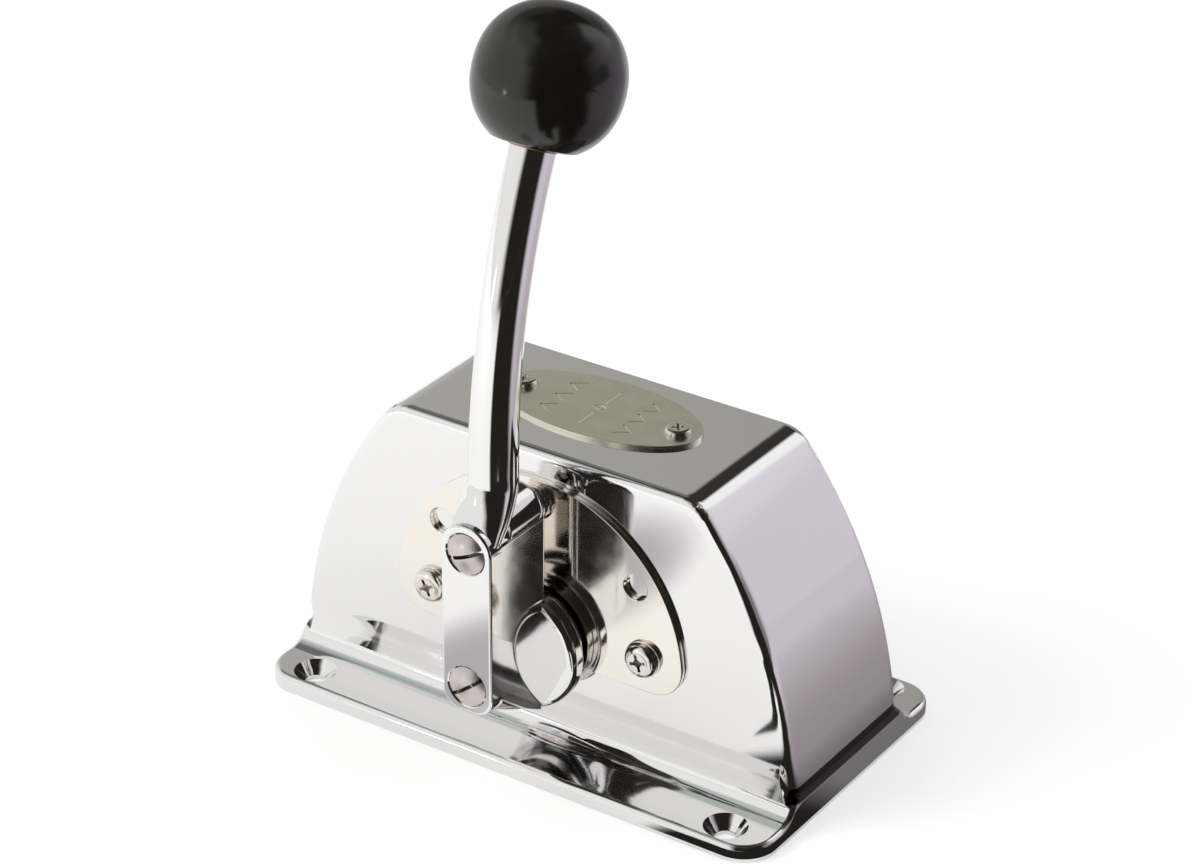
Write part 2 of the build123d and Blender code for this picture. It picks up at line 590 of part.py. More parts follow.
def make_drive_gear():
    """Gear on the flats of the main shaft."""
    gear = Pos(0, SHAFT_Z) * gear_outline(DRIVE_TEETH) - shaft_section()
    return along_y(gear, DRIVE_GEAR_Y, DRIVE_GEAR_Y + GEAR_WIDTH)


def make_shift_gear():
    """Toothed sector that turns on the spindle, with a round hub."""
    reach = GEAR_MODULE * SHIFT_TEETH
    half = math.radians(SECTOR_HALF_DEGREES)
    wedge = make_face(
        Polyline((0, 0), polar(-reach, half), (-reach, 0), polar(-reach, -half), close=True)
    )
    sector = gear_outline(SHIFT_TEETH) & wedge
    for angle in (-SECTOR_HOLE_DEGREES, 0, SECTOR_HOLE_DEGREES):
        sector -= Pos(*polar(-SECTOR_HOLE_PLACE, math.radians(angle))) * Circle(SECTOR_HOLE_RADIUS)
    sector += Circle(SHIFT_ARM_HUB_RADIUS)
    sector -= Circle(SPINDLE_RADIUS + RUNNING_CLEARANCE)
    for side in (-1, 1):
        sector -= Pos(0, side * SHIFT_PIN_OFFSET) * Circle(SHIFT_PIN_RADIUS)
    gear = Pos(GEAR_CENTRES, SHAFT_Z) * sector
    return along_y(gear, DRIVE_GEAR_Y, DRIVE_GEAR_Y + GEAR_WIDTH)


def make_shift_arm():
    """Plate arm pinned to the sector, with an eye for the shift cable's swivel."""
    arm = Circle(SHIFT_ARM_HUB_RADIUS) + Pos(SHIFT_ARM_LENGTH, 0) * Circle(EYE_RADIUS)
    arm += Pos(SHIFT_ARM_LENGTH / 2, 0) * Rectangle(SHIFT_ARM_LENGTH, 2 * EYE_RADIUS)
    arm -= Circle(SPINDLE_RADIUS + RUNNING_CLEARANCE)
    arm -= Pos(SHIFT_ARM_LENGTH, 0) * Circle(SWIVEL_PIN_RADIUS + RUNNING_CLEARANCE)
    for side in (-1, 1):
        arm -= Pos(0, side * SHIFT_PIN_OFFSET) * Circle(SHIFT_PIN_RADIUS)
    place = Pos(GEAR_CENTRES, SHAFT_Z)
    return along_y(place * arm, SHIFT_ARM_Y, SHIFT_ARM_Y + SHIFT_ARM_THICKNESS)


def make_throttle_crank():
    """Crank on the shaft that hangs straight down at neutral."""
    crank = Pos(0, SHAFT_Z) * Circle(CRANK_HUB_RADIUS)
    crank += Pos(0, THROTTLE_EYE_Z) * Circle(EYE_RADIUS)
    crank += Pos(0, SHAFT_Z - CRANK_LENGTH / 2) * Rectangle(2 * EYE_RADIUS, CRANK_LENGTH)
    crank -= shaft_section()
    crank -= Pos(0, THROTTLE_EYE_Z) * Circle(SWIVEL_PIN_RADIUS + RUNNING_CLEARANCE)
    return along_y(crank, CRANK_Y, CRANK_Y + CRANK_THICKNESS)


def make_detent_disc():
    """Disc with three notches: ahead, neutral and astern."""
    disc = Circle(DETENT_RADIUS)
    notch_place = DETENT_RADIUS + DETENT_BALL_RADIUS - DETENT_NOTCH_DEPTH
    for angle in (-DETENT_ANGLE, 0, DETENT_ANGLE):
        disc -= Pos(*polar(notch_place, math.radians(90 + angle))) * Circle(DETENT_BALL_RADIUS)
    disc = Pos(0, SHAFT_Z) * disc - shaft_section()
    return along_y(disc, DETENT_Y, DETENT_Y + DETENT_WIDTH)


def make_detent_spring():
    """Coil spring above the detent ball, as its outer tube."""
    inner = DETENT_BALL_RADIUS * 0.7
    rest = math.sqrt(DETENT_BALL_RADIUS**2 - inner**2) + RUNNING_CLEARANCE
    height = DETENT_POST_BOTTOM + DETENT_BORE_DEPTH - DETENT_BALL_Z - rest
    tube = bar_z(DETENT_BALL_RADIUS * 0.95, 0, height) - bar_z(inner, 0, height)
    return Pos(0, DETENT_MIDDLE_Y, DETENT_BALL_Z + rest) * tube


def make_washer():
    """Thrust washer between the bush and the drive gear."""
    washer = Pos(0, SHAFT_Z) * Circle(WASHER_RADIUS) - shaft_section()
    return along_y(washer, WASHER_Y, DRIVE_GEAR_Y)


def make_clip(outer, inner, y_start, x, z):
    """Open retaining ring along Y."""
    ring = Circle(outer) - Circle(inner)
    ring -= Pos(0, -outer) * Rectangle(inner, 2 * outer)
    return along_y(Pos(x, z) * ring, y_start, y_start + CLIP_THICKNESS)


def make_spindle():
    """Fixed spindle pressed into the housing, grooved for its clip."""
    end = SPINDLE_CLIP_Y + 2 * CLIP_THICKNESS
    spindle = rod_y(SPINDLE_RADIUS, SPINDLE_SEAT_Y, end, GEAR_CENTRES, SHAFT_Z)
    groove = ring_y(
        SPINDLE_RADIUS + 1, SPINDLE_RADIUS - CLIP_GROOVE_DEPTH,
        SPINDLE_CLIP_Y, SPINDLE_CLIP_Y + CLIP_THICKNESS, GEAR_CENTRES, SHAFT_Z,
    )
    return spindle - groove


def make_swivel(plate_start, plate_end, x, z):
    """Cable swivel: pin through an eye, with a cross-drilled head and a clip groove."""
    head_start = plate_end + FACE_CLEARANCE
    head_end = head_start + SWIVEL_HEAD_LENGTH
    clip_end = plate_start - FACE_CLEARANCE
    clip_start = clip_end - CLIP_THICKNESS
    swivel = rod_y(SWIVEL_PIN_RADIUS, clip_start - CLIP_THICKNESS, head_start, x, z)
    swivel += rod_y(SWIVEL_HEAD_RADIUS, head_start, head_end, x, z)
    swivel -= ring_y(
        SWIVEL_PIN_RADIUS + 1, SWIVEL_PIN_RADIUS - CLIP_GROOVE_DEPTH, clip_start, clip_end, x, z
    )
    middle = (head_start + head_end) / 2
    return swivel - bar_z(
        SWIVEL_CABLE_RADIUS, z - 2 * SWIVEL_HEAD_RADIUS, z + 2 * SWIVEL_HEAD_RADIUS, x, middle
    )


def make_swivel_clip(plate_start, x, z):
    """Clip that keeps a swivel in its eye."""
    start = plate_start - FACE_CLEARANCE - CLIP_THICKNESS
    return make_clip(SWIVEL_CLIP_RADIUS, SWIVEL_PIN_RADIUS - CLIP_GROOVE_DEPTH, start, x, z)


def make_parts():
    """Every node by name."""
    spindle_washer_end = DRIVE_GEAR_Y - FACE_CLEARANCE
    parts = {
        "housing": make_housing(),
        "shaft_bush": make_shaft_bush(),
        "legend_plate": make_legend_plate(),
        "quadrant_plate": make_quadrant_plate(),
        "gear_spindle": make_spindle(),
        "spindle_washer": ring_y(
            SPINDLE_BOSS_RADIUS, SPINDLE_RADIUS, SHAFT_BOSS_END_Y, spindle_washer_end,
            GEAR_CENTRES, SHAFT_Z,
        ),
        "spindle_clip": make_clip(
            SPINDLE_RADIUS + 3, SPINDLE_RADIUS - CLIP_GROOVE_DEPTH, SPINDLE_CLIP_Y,
            GEAR_CENTRES, SHAFT_Z,
        ),
        "detent_ball": Pos(0, DETENT_MIDDLE_Y, DETENT_BALL_Z) * Sphere(DETENT_BALL_RADIUS),
        "detent_spring": make_detent_spring(),
        "main_shaft": make_main_shaft(),
        "shaft_key": make_shaft_key(),
        "arm": make_arm(),
        "hub_ring": ring_y(
            HUB_RING_RADIUS, SHAFT_RADIUS, HUB_BACK_Y, BUSH_FRONT_Y - FACE_CLEARANCE, z=SHAFT_Z
        ),
        "lever": make_lever(),
        "tongue_screw_upper": make_tongue_screw(UPPER_SCREW_Z, UPPER_SCREW_LENGTH, 23),
        "tongue_screw_lower": make_tongue_screw(SHAFT_Z, LOWER_SCREW_LENGTH, 37),
        "ball_knob": make_ball_knob(),
        "knob_insert": make_knob_insert(),
        "thrust_washer": make_washer(),
        "drive_gear": make_drive_gear(),
        "detent_disc": make_detent_disc(),
        "throttle_crank": make_throttle_crank(),
        "shaft_clip": make_clip(
            CLIP_RADIUS, SHAFT_RADIUS - CLIP_GROOVE_DEPTH, SHAFT_CLIP_Y, 0, SHAFT_Z
        ),
        "shift_gear": make_shift_gear(),
        "shift_arm": make_shift_arm(),
        "shift_swivel": make_swivel(
            SHIFT_ARM_Y, SHIFT_ARM_Y + SHIFT_ARM_THICKNESS, SHIFT_EYE_X, SHAFT_Z
        ),
        "shift_swivel_clip": make_swivel_clip(SHIFT_ARM_Y, SHIFT_EYE_X, SHAFT_Z),
        "throttle_swivel": make_swivel(CRANK_Y, CRANK_Y + CRANK_THICKNESS, 0, THROTTLE_EYE_Z),
        "throttle_swivel_clip": make_swivel_clip(CRANK_Y, 0, THROTTLE_EYE_Z),
    }
    for index, x in enumerate((-LEGEND_SCREW_X, LEGEND_SCREW_X), 1):
        parts[f"legend_screw_{index}"] = Pos(x, 0, HOUSING_HEIGHT + LEGEND_THICKNESS) * pan_screw(
            LEGEND_SCREW_HEAD_RADIUS, LEGEND_SCREW_HEAD_HEIGHT,
            LEGEND_SCREW_SHANK_RADIUS, LEGEND_SCREW_LENGTH,
        )
    for index, (x, z) in enumerate(QUADRANT_SCREWS, 1):
        parts[f"quadrant_screw_{index}"] = Pos(x, PLATE_FRONT_Y, z) * Rot(90, 0, 0) * pan_screw(
            QUADRANT_SCREW_HEAD_RADIUS, QUADRANT_SCREW_HEAD_HEIGHT,
            QUADRANT_SCREW_SHANK_RADIUS, QUADRANT_SCREW_LENGTH,
        )
    for index, side in enumerate((-1, 1), 1):
        parts[f"shift_pin_{index}"] = rod_y(
            SHIFT_PIN_RADIUS, DRIVE_GEAR_Y, SHIFT_ARM_Y + SHIFT_ARM_THICKNESS,
            GEAR_CENTRES, SHAFT_Z + side * SHIFT_PIN_OFFSET,
        )
    return parts


os.makedirs("parts", exist_ok=True)
for node, shape in make_parts().items():
    export_step(Compound(label=node, children=list(shape.solids())), f"parts/{node}.step")
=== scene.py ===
import logging
import math
from dataclasses import dataclass
from enum import Enum
from functools import cache
from typing import Any, Callable, Sequence

import bpy
from mathutils import Matrix, Vector


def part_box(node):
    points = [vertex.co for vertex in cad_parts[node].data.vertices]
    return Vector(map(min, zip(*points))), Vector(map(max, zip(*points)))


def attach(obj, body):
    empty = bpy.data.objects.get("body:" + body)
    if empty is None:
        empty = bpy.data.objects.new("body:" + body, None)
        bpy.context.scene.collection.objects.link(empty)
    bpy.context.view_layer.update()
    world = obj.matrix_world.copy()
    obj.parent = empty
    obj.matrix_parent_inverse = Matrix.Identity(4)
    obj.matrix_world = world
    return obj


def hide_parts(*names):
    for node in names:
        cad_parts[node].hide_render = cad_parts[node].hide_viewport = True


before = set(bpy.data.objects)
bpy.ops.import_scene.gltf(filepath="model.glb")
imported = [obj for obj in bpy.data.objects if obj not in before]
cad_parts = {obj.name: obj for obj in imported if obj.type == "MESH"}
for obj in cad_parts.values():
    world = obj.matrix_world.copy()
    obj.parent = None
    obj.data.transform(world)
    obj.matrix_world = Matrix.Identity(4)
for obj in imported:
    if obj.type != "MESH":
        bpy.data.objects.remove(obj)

log = logging.getLogger("throttle_lever")

MM = 0.001
HAIR = 1e-6  # places closer than this, in metres, are one place

Piece = bpy.types.Object
Socket = bpy.types.NodeSocket
Colour = tuple[float, float, float, float]
FaceTest = Callable[[Vector, Vector], bool]
EdgeTest = Callable[[Vector, Vector], bool]
Triple = tuple[float, float, float]
Tones = tuple[tuple[float, str], ...]
Shares = tuple[tuple[float, float], ...]


def mm(*values: float) -> Vector:
    """A point or size given in millimetres, as metres."""
    return Vector([value * MM for value in values])


def srgb(code: str) -> Colour:
    """Turn an sRGB hex colour into the linear colour that Blender's sockets hold.

    Args:
        code: Six hex digits after a #.

    Returns:
        Red, green, blue and an alpha of one.
    """
    parts = [int(code[i:i + 2], 16) / 255 for i in (1, 3, 5)]
    linear = [c / 12.92 if c <= 0.04045 else ((c + 0.055) / 1.055) ** 2.4 for c in parts]
    return (linear[0], linear[1], linear[2], 1.0)


def eased(value: float, low: float, high: float) -> float:
    """Rise smoothly from nought to one as a value goes from low to high."""
    share = min(max((value - low) / (high - low), 0.0), 1.0)
    return share * share * (3 - 2 * share)


def spot(x: float, y: float, z: float, turn_x: float = 0.0, turn_z: float = 0.0) -> Matrix:
    """A place in millimetres, reached after a turn about Z and then one about X, in degrees."""
    return (
        Matrix.Translation(mm(x, y, z))
        @ Matrix.Rotation(math.radians(turn_x), 4, "X")
        @ Matrix.Rotation(math.radians(turn_z), 4, "Z")
    )


def facing(x: float, y: float, z: float, least: float = 0.9) -> FaceTest:
    """A test for faces whose normal points along a direction.

    Args:
        x: The direction's X.
        y: Its Y.
        z: Its Z.
        least: The cosine of the largest angle between the two.

    Returns:
        The test.
    """
    return lambda middle, normal: normal.dot(Vector((x, y, z))) > least


def at_waist(first: Vector, second: Vector) -> bool:
    """Whether an edge lies in the bench's XY plane."""
    return abs(first.z) < HAIR and abs(second.z) < HAIR


class Body(Enum):
    """The CAD bodies that carry the new pieces."""

    BASE = "base"
    LEVER = "lever"


class Bench:
    """Hand tools: short calls to Blender's operators, on one object at a time."""

    @staticmethod
    def clear() -> None:
        active = bpy.context.view_layer.objects.active
        if active is not None and active.mode != "OBJECT":
            bpy.ops.object.mode_set(mode="OBJECT")
        bpy.ops.object.select_all(action="DESELECT")

    @classmethod
    def pick(cls, piece: Piece) -> None:
        """Make one object the only selected and active one."""
        cls.clear()
        piece.select_set(True)
        bpy.context.view_layer.objects.active = piece

    @classmethod
    def edit(cls, piece: Piece, mode: str = "FACE", everything: bool = False) -> None:
        """Open an object in edit mode.

        Args:
            piece: The object to open.
            mode: VERT, EDGE or FACE.
            everything: Whether all of it starts selected; otherwise nothing does.
        """
        cls.pick(piece)
        bpy.ops.object.mode_set(mode="EDIT")
        bpy.ops.mesh.select_mode(type=mode)
        bpy.ops.mesh.select_all(action="SELECT" if everything else "DESELECT")

    @classmethod
    def edit_faces(cls, piece: Piece, test: FaceTest) -> None:
        """Open an object in edit mode with some faces selected.

        Args:
            piece: The object to open.
            test: Called with a face's centre and normal, in metres.
        """
        cls.edit(piece, "FACE")
        bpy.ops.object.mode_set(mode="OBJECT")
        for face in piece.data.polygons:
            face.select = test(face.center, face.normal)
        bpy.ops.object.mode_set(mode="EDIT")

    @classmethod
    def edit_edges(cls, piece: Piece, test: EdgeTest) -> None:
        """Open an object in edit mode with some edges selected.

        Args:
            piece: The object to open.
            test: Called with the places of an edge's two ends, in metres.
        """
        cls.edit(piece, "EDGE")
        bpy.ops.object.mode_set(mode="OBJECT")
        corners = piece.data.vertices
        for edge in piece.data.edges:
            first, second = edge.vertices
            edge.select = test(corners[first].co, corners[second].co)
        bpy.ops.object.mode_set(mode="EDIT")

    @classmethod
    def rim(cls, piece: Piece, test: FaceTest, radius: float, steps: int) -> None:
        """Round the rims of the faces that pass a test.

        Args:
            piece: The piece to round.
            test: Called with a face's centre and normal, in metres.
            radius: The rounding, in millimetres.
            steps: How many flats it has.
        """
        cls.edit_faces(piece, test)
        bpy.ops.mesh.bevel(offset=radius * MM, segments=steps, affect="EDGES")
        cls.clear()

    @classmethod
    def cylinder(
        cls, name: str, radius: float, low: float, high: float, sides: int = 64
    ) -> Piece:
        """A round bar along Z, on the Z axis.

        Args:
            name: The object's name.
            radius: Its radius, in millimetres.
            low: Height of its lower end, in millimetres.
            high: Height of its upper end, in millimetres.
            sides: How many flats the round has.

        Returns:
            The new object.
        """
        cls.clear()
        bpy.ops.mesh.primitive_cylinder_add(
            vertices=sides, radius=radius * MM, depth=(high - low) * MM,
            location=mm(0, 0, (low + high) / 2),
        )
        return cls.named(name)

    @classmethod
    def block(cls, name: str, size: Vector, middle: Vector, turn: float = 0.0) -> Piece:
        """A box turned about Z.

        Args:
            name: The object's name.
            size: Its three sides, in metres.
            middle: Its centre, in metres.
            turn: Its turn about Z, in degrees.

        Returns:
            The new object.
        """
        cls.clear()
        bpy.ops.mesh.primitive_cube_add(
            size=1.0, location=middle, rotation=(0, 0, math.radians(turn)), scale=size
        )
        return cls.named(name)

    @classmethod
    def named(cls, name: str) -> Piece:
        """Name the primitive just added and put its place into its mesh."""
        piece = bpy.context.view_layer.objects.active
        piece.name = name
        piece.data.name = name
        cls.settle(piece)
        return piece

    @classmethod
    def settle(cls, piece: Piece) -> None:
        """Move an object's place, turn and scale into its mesh."""
        cls.pick(piece)
        bpy.ops.object.transform_apply(location=True, rotation=True, scale=True)

    @classmethod
    def stand(cls, piece: Piece, place: Matrix) -> None:
        """Carry a piece from its bench position to its place in the frame."""
        piece.matrix_world = place
        cls.settle(piece)

    @classmethod
    def apply(cls, piece: Piece, kind: str, **settings: Any) -> None:
        """Add one modifier with its settings and apply it at once."""
        cls.pick(piece)
        rule = piece.modifiers.new(kind.lower(), kind)
        for name, value in settings.items():
            setattr(rule, name, value)
        bpy.ops.object.modifier_apply(modifier=rule.name)

    @classmethod
    def combine(
        cls, piece: Piece, other: Piece, operation: str = "DIFFERENCE", solver: str = "MANIFOLD"
    ) -> None:
        """Cut one solid away from another or weld it on, and put the other solid away."""
        cls.apply(piece, "BOOLEAN", operation=operation, solver=solver, object=other)
        bpy.data.objects.remove(other, do_unlink=True)

    @classmethod
    def ease(cls, piece: Piece, width: float, steps: int = 2, degrees: float = 35.0) -> None:
        """Take the sharpness off every edge that turns by more than some degrees.

        Args:
            piece: The piece to ease.
            width: Width of the bevel, in millimetres.
            steps: How many flats the bevel has.
            degrees: The least turn of an edge that gets it.
        """
        cls.apply(
            piece, "BEVEL", width=width * MM, segments=steps, limit_method="ANGLE",
            angle_limit=math.radians(degrees), use_clamp_overlap=True, harden_normals=False,
        )

    @classmethod
    def clean(cls, piece: Piece, outward: bool = True) -> None:
        """Merge doubles and, unless told not to, turn every face outwards."""
        cls.edit(piece, "VERT", everything=True)
        bpy.ops.mesh.remove_doubles(threshold=0.002 * MM)
        if outward:
            bpy.ops.mesh.normals_make_consistent(inside=False)
        cls.clear()

    @classmethod
    def merged_copy(cls, node: str, name: str) -> Piece:
        """Copy a CAD node's loose triangles into a new piece and join them into one skin.

        Args:
            node: The CAD node to copy.
            name: The new piece's name.

        Returns:
            The new piece, at the origin as the node is.
        """
        piece = bpy.data.objects.new(name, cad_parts[node].data.copy())
        bpy.context.scene.collection.objects.link(piece)
        piece.data.materials.clear()
        if piece.data.has_custom_normals:
            cls.pick(piece)
            bpy.ops.mesh.customdata_custom_splitnormals_clear()
        cls.clean(piece, outward=False)
        return piece

    @classmethod
    def smooth(cls, piece: Piece, degrees: float = 28.0) -> None:
        """Shade smooth across small turns, and let the large faces lead the shading."""
        cls.pick(piece)
        bpy.ops.object.shade_smooth_by_angle(angle=math.radians(degrees))
        cls.apply(piece, "WEIGHTED_NORMAL", keep_sharp=True, weight=60)
        cls.clear()


@dataclass(frozen=True)
class Grain:
    """A noise pattern, in millimetres.

    Its patches have a size, finer detail and a stretch, which is how many times shorter they
    are along X, Y and Z. As relief it also has a depth.
    """

    size: float
    detail: float = 2.0
    stretch: Triple = (1.0, 1.0, 1.0)
    depth: float = 0.0


class Graph:
    """One emptied node tree, and the one function that adds a node to it."""

    def __init__(self, tree: bpy.types.NodeTree) -> None:
        """Take a tree and empty it."""
        self.tree = tree
        tree.nodes.clear()

    @classmethod
    def of_material(cls, name: str) -> tuple[bpy.types.Material, "Graph"]:
        """A new material with its emptied tree."""
        made = bpy.data.materials.new(name)
        made.use_nodes = True
        return made, cls(made.node_tree)

    def add(
        self, kind: str, *values: Any, inputs: dict[str, Any] | None = None,
        out: str | int = 0, stops: Sequence[tuple[float, Colour]] = (), **settings: Any,
    ) -> Any:
        """Add one shader node with its settings and links.

        Args:
            kind: The node's Blender type name, without its ShaderNode.
            values: A value or a socket for each of its first inputs.
            inputs: A value or a socket for other inputs, by name.
            out: The output that is wanted, by name or number.
            stops: A colour ramp's places from 0 to 1, with their colours.
            settings: Plain properties of the node, such as operation.

        Returns:
            The wanted output's socket, or None if the node ends the tree.
        """
        node = self.tree.nodes.new(f"ShaderNode{kind}")
        for name, value in settings.items():
            setattr(node, name, value)
        for key, value in (*enumerate(values), *(inputs or {}).items()):
            if isinstance(value, Socket):
                self.tree.links.new(value, node.inputs[key])
            else:
                node.inputs[key].default_value = value
        for number, (where, colour) in enumerate(stops):
            places = node.color_ramp.elements
            place = places[number] if number < 2 else places.new(1.0)
            place.position = where
            place.color = colour
        return node.outputs[out] if node.outputs else None

    def place(self) -> tuple[Socket, Socket, Socket]:
        """A point's X, Y and Z in Object coordinates, in metres."""
        parts = self.add("SeparateXYZ", self.add("TexCoord", out="Object")).node.outputs
        return parts[0], parts[1], parts[2]

    def noise(self, grain: Grain) -> Socket:
        """A noise from 0 to 1 on Object coordinates, with patches of a real size."""
        where = self.add("TexCoord", out="Object")
        turned = self.add("Mapping", where, inputs={"Scale": grain.stretch})
        size = {"Scale": 1.0 / (grain.size * MM), "Detail": grain.detail}
        return self.add("TexNoise", turned, inputs=size)


@dataclass(frozen=True)
class Finish:
    """A surface finish: a metal, unless it has an index of refraction of its own.

    Its patches vary the roughness and, where it has two colours, the colour. Each relief
    lies on the one before.
    """

    name: str
    slot: str
    colours: tuple[str, ...]
    patches: Grain
    roughness: tuple[float, float]
    reliefs: tuple[Grain, ...]
    metallic: float = 1.0
    ior: float | None = None

    def colour(self, graph: Graph, patches: Socket) -> Socket | Colour:
        """The finish's colour, as one value or as the nodes that make it."""
        if len(self.colours) == 1:
            return srgb(self.colours[0])
        ends = {"Factor": patches, "A": srgb(self.colours[0]), "B": srgb(self.colours[1])}
        return graph.add("Mix", inputs=ends, out="Result", data_type="RGBA")

    @cache
    def material(self) -> bpy.types.Material:
        """The finish's Blender material, made the first time it is asked for."""
        made, graph = Graph.of_material(self.name)
        patches = graph.noise(self.patches)
        inputs: dict[str, Any] = {
            "Metallic": self.metallic,
            "Base Color": self.colour(graph, patches),
            # The noise hardly ever leaves 0.3 to 0.7.
            "Roughness": graph.add("MapRange", patches, 0.3, 0.7, *self.roughness),
        }
        if self.ior is not None:
            inputs["IOR"] = self.ior
        for grain in self.reliefs:
            bump: dict[str, Any] = {
                "Strength": 1.0, "Distance": grain.depth * MM, "Height": graph.noise(grain)
            }
            if "Normal" in inputs:
                bump["Normal"] = inputs["Normal"]
            inputs["Normal"] = graph.add("Bump", inputs=bump)
        graph.add("OutputMaterial", graph.add("BsdfPrincipled", inputs=inputs))
        return made

    def dress(self, piece: Piece) -> None:
        """Put the finish on every material slot of a piece."""
        if not piece.data.materials:
            piece.data.materials.append(self.material())
        for place in piece.material_slots:
            place.material = self.material()


@dataclass(frozen=True)
class CastingFinish(Finish):
    """Chrome with a dark band of painted shade in the tight inside curve at the foot of the end
    walls.
    """

    # The painted shade band's colour, where it starts out along X, and its low and high edges, in
    # millimetres.
    bare: str = "#35312C"
    shade_band_x: float = 91.6
    shade_band_low: float = 10.3
    shade_band_high: float = 14.6

    def colour(self, graph: Graph, patches: Socket) -> Socket:
        """The chrome's colour, and the painted shade band in that curve."""
        x, _, z = graph.place()
        limits = (
            (graph.add("Math", x, operation="ABSOLUTE"), self.shade_band_x - 0.5, self.shade_band_x),
            (z, self.shade_band_low - 0.4, self.shade_band_low + 0.2),
            (z, self.shade_band_high + 0.3, self.shade_band_high - 0.3),
        )
        out, above, below = (
            graph.add("MapRange", value, low * MM, high * MM, interpolation_type="SMOOTHSTEP")
            for value, low, high in limits
        )
        inside = graph.add("Math", out, above, operation="MULTIPLY")
        inside = graph.add("Math", inside, below, operation="MULTIPLY")
        # The painted shade band's dark colour goes where the mask is one.
        ends = {"Factor": inside, "A": srgb(self.colours[0]), "B": srgb(self.bare)}
        return graph.add("Mix", inputs=ends, out="Result", data_type="RGBA")


# Chrome on a hand-buffed zinc casting. The plating mirrors like glass, but the casting under
# it is never quite flat, so straight reflections waver a little, and old cloth haze makes
# some patches softer.
# Its colour carries a band of painted shade in the curve at the foot of each end wall.
CASTING = CastingFinish(
    "bright_chrome_on_buffed_casting", "polished_casting", ("#EFEEEE",),
    Grain(22.0, 4.0), (0.03, 0.085), (Grain(16.0, 1.0, depth=0.035),),
)
# Chrome on a forging that was belt-ground and buffed along its length: its reflections are
# crisp, with faint streaks 0.8 mm wide and 20 mm long, over slow waves of 11 mm.
FORGING = Finish(
    "bright_chrome_on_ground_forging", "chrome_lever", ("#EFEEEE",),
    Grain(12.0, 3.0), (0.05, 0.1),
    (Grain(20.0, 2.0, (25.0, 25.0, 1.0), 0.0012), Grain(11.0, 1.0, depth=0.012)),
)
# Zinc as it leaves the sand, on the hidden inside: dull grey and pebbled by 1.2 mm grains.
RAW = Finish(
    "raw_zinc_casting", "polished_casting", ("#8F908E",),
    Grain(1.2, 4.0), (0.45, 0.65), (Grain(1.2, 4.0, depth=0.12),), metallic=0.9,
)
# Buffed nickel on sheet brass: a warm white mirror with a trace of the rolling lines, 0.5 mm
# apart along X, which is coarser than the real ones so that they show.
SHEET = Finish(
    "buffed_nickel_sheet", "nickel_plate", ("#F4EEE6",),
    Grain(9.0, 3.0), (0.06, 0.13), (Grain(14.0, 3.0, (1.0, 28.0, 28.0), 0.002),),
)
# Nickel on brass with a satin rub: soft reflections, a yellow-grey cast and rub lines 0.4 mm
# apart along X, again coarser than the real ones.
SATIN = Finish(
    "satin_nickel_sheet", "nickel_plate", ("#F2EFDD",),
    Grain(6.0, 3.0), (0.24, 0.32), (Grain(12.0, 4.0, (1.0, 30.0, 30.0), 0.0012),),
)
# Nickel-plated screw: bright, a little milky, with 0.7 mm dents from tumbling in a drum.
SCREW = Finish(
    "nickel_plated_screw", "chrome_screw", ("#E6E0DA",),
    Grain(2.5), (0.08, 0.2), (Grain(0.7, 3.0, depth=0.006),),
)
# Nickel-plated screw that cloths have dulled in patches of 2.2 mm; its soft pinkish grey is
# darker than the other screws' partly as painted shade on the domes.
TONGUE_SCREW = Finish(
    "dulled_and_shaded_nickel_screw", "chrome_screw", ("#CFC5C1",),
    Grain(2.2, 3.0), (0.26, 0.38), (Grain(2.2, 3.0, depth=0.01),),
)
# Turned carbon steel: grey, with 5 mm stains from oil and tool lines 0.35 mm apart.
STEEL = Finish(
    "turned_oiled_steel", "machined_steel", ("#86837E", "#A7A5A1"),
    Grain(5.0, 4.0), (0.24, 0.42), (Grain(8.0, 2.0, (23.0, 1.0, 23.0), 0.01),),
)
# Turned bearing bronze: warm brown-gold, half dulled by air and oil in patches of 4 mm, with
# tool lines 0.3 mm apart.
BRONZE = Finish(
    "turned_bearing_bronze", "bronze", ("#8E6740", "#C09463"),
    Grain(4.0, 4.0), (0.25, 0.45), (Grain(6.0, 2.0, (20.0, 1.0, 20.0), 0.008),),
)
# Black phenolic, pressed in a mould and buffed: glossy and almost black, with a brown cast
# in the faint 9 mm clouds that the wheel leaves, and a skin ripple of 5 mm.
PHENOLIC = Finish(
    "buffed_black_phenolic", "black_knob", ("#100F0C", "#191713"),
    Grain(9.0, 4.0), (0.09, 0.2), (Grain(5.0, 1.0, depth=0.004),), metallic=0.0, ior=1.55,
)


def fit(piece: Piece, finish: Finish, body: Body, *nodes: str) -> None:
    """Dress a finished piece, put it on its body and let it stand for its CAD nodes.

    Args:
        piece: The finished piece, in place.
        finish: Its finish.
        body: The CAD body that carries it.
        nodes: The CAD nodes that it stands for.
    """
    if not any(piece.data.materials):
        finish.dress(piece)
    if nodes:
        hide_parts(*nodes)
    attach(piece, body.value)
    log.info("%s: %d faces on %s", piece.name, len(piece.data.polygons), body.value)


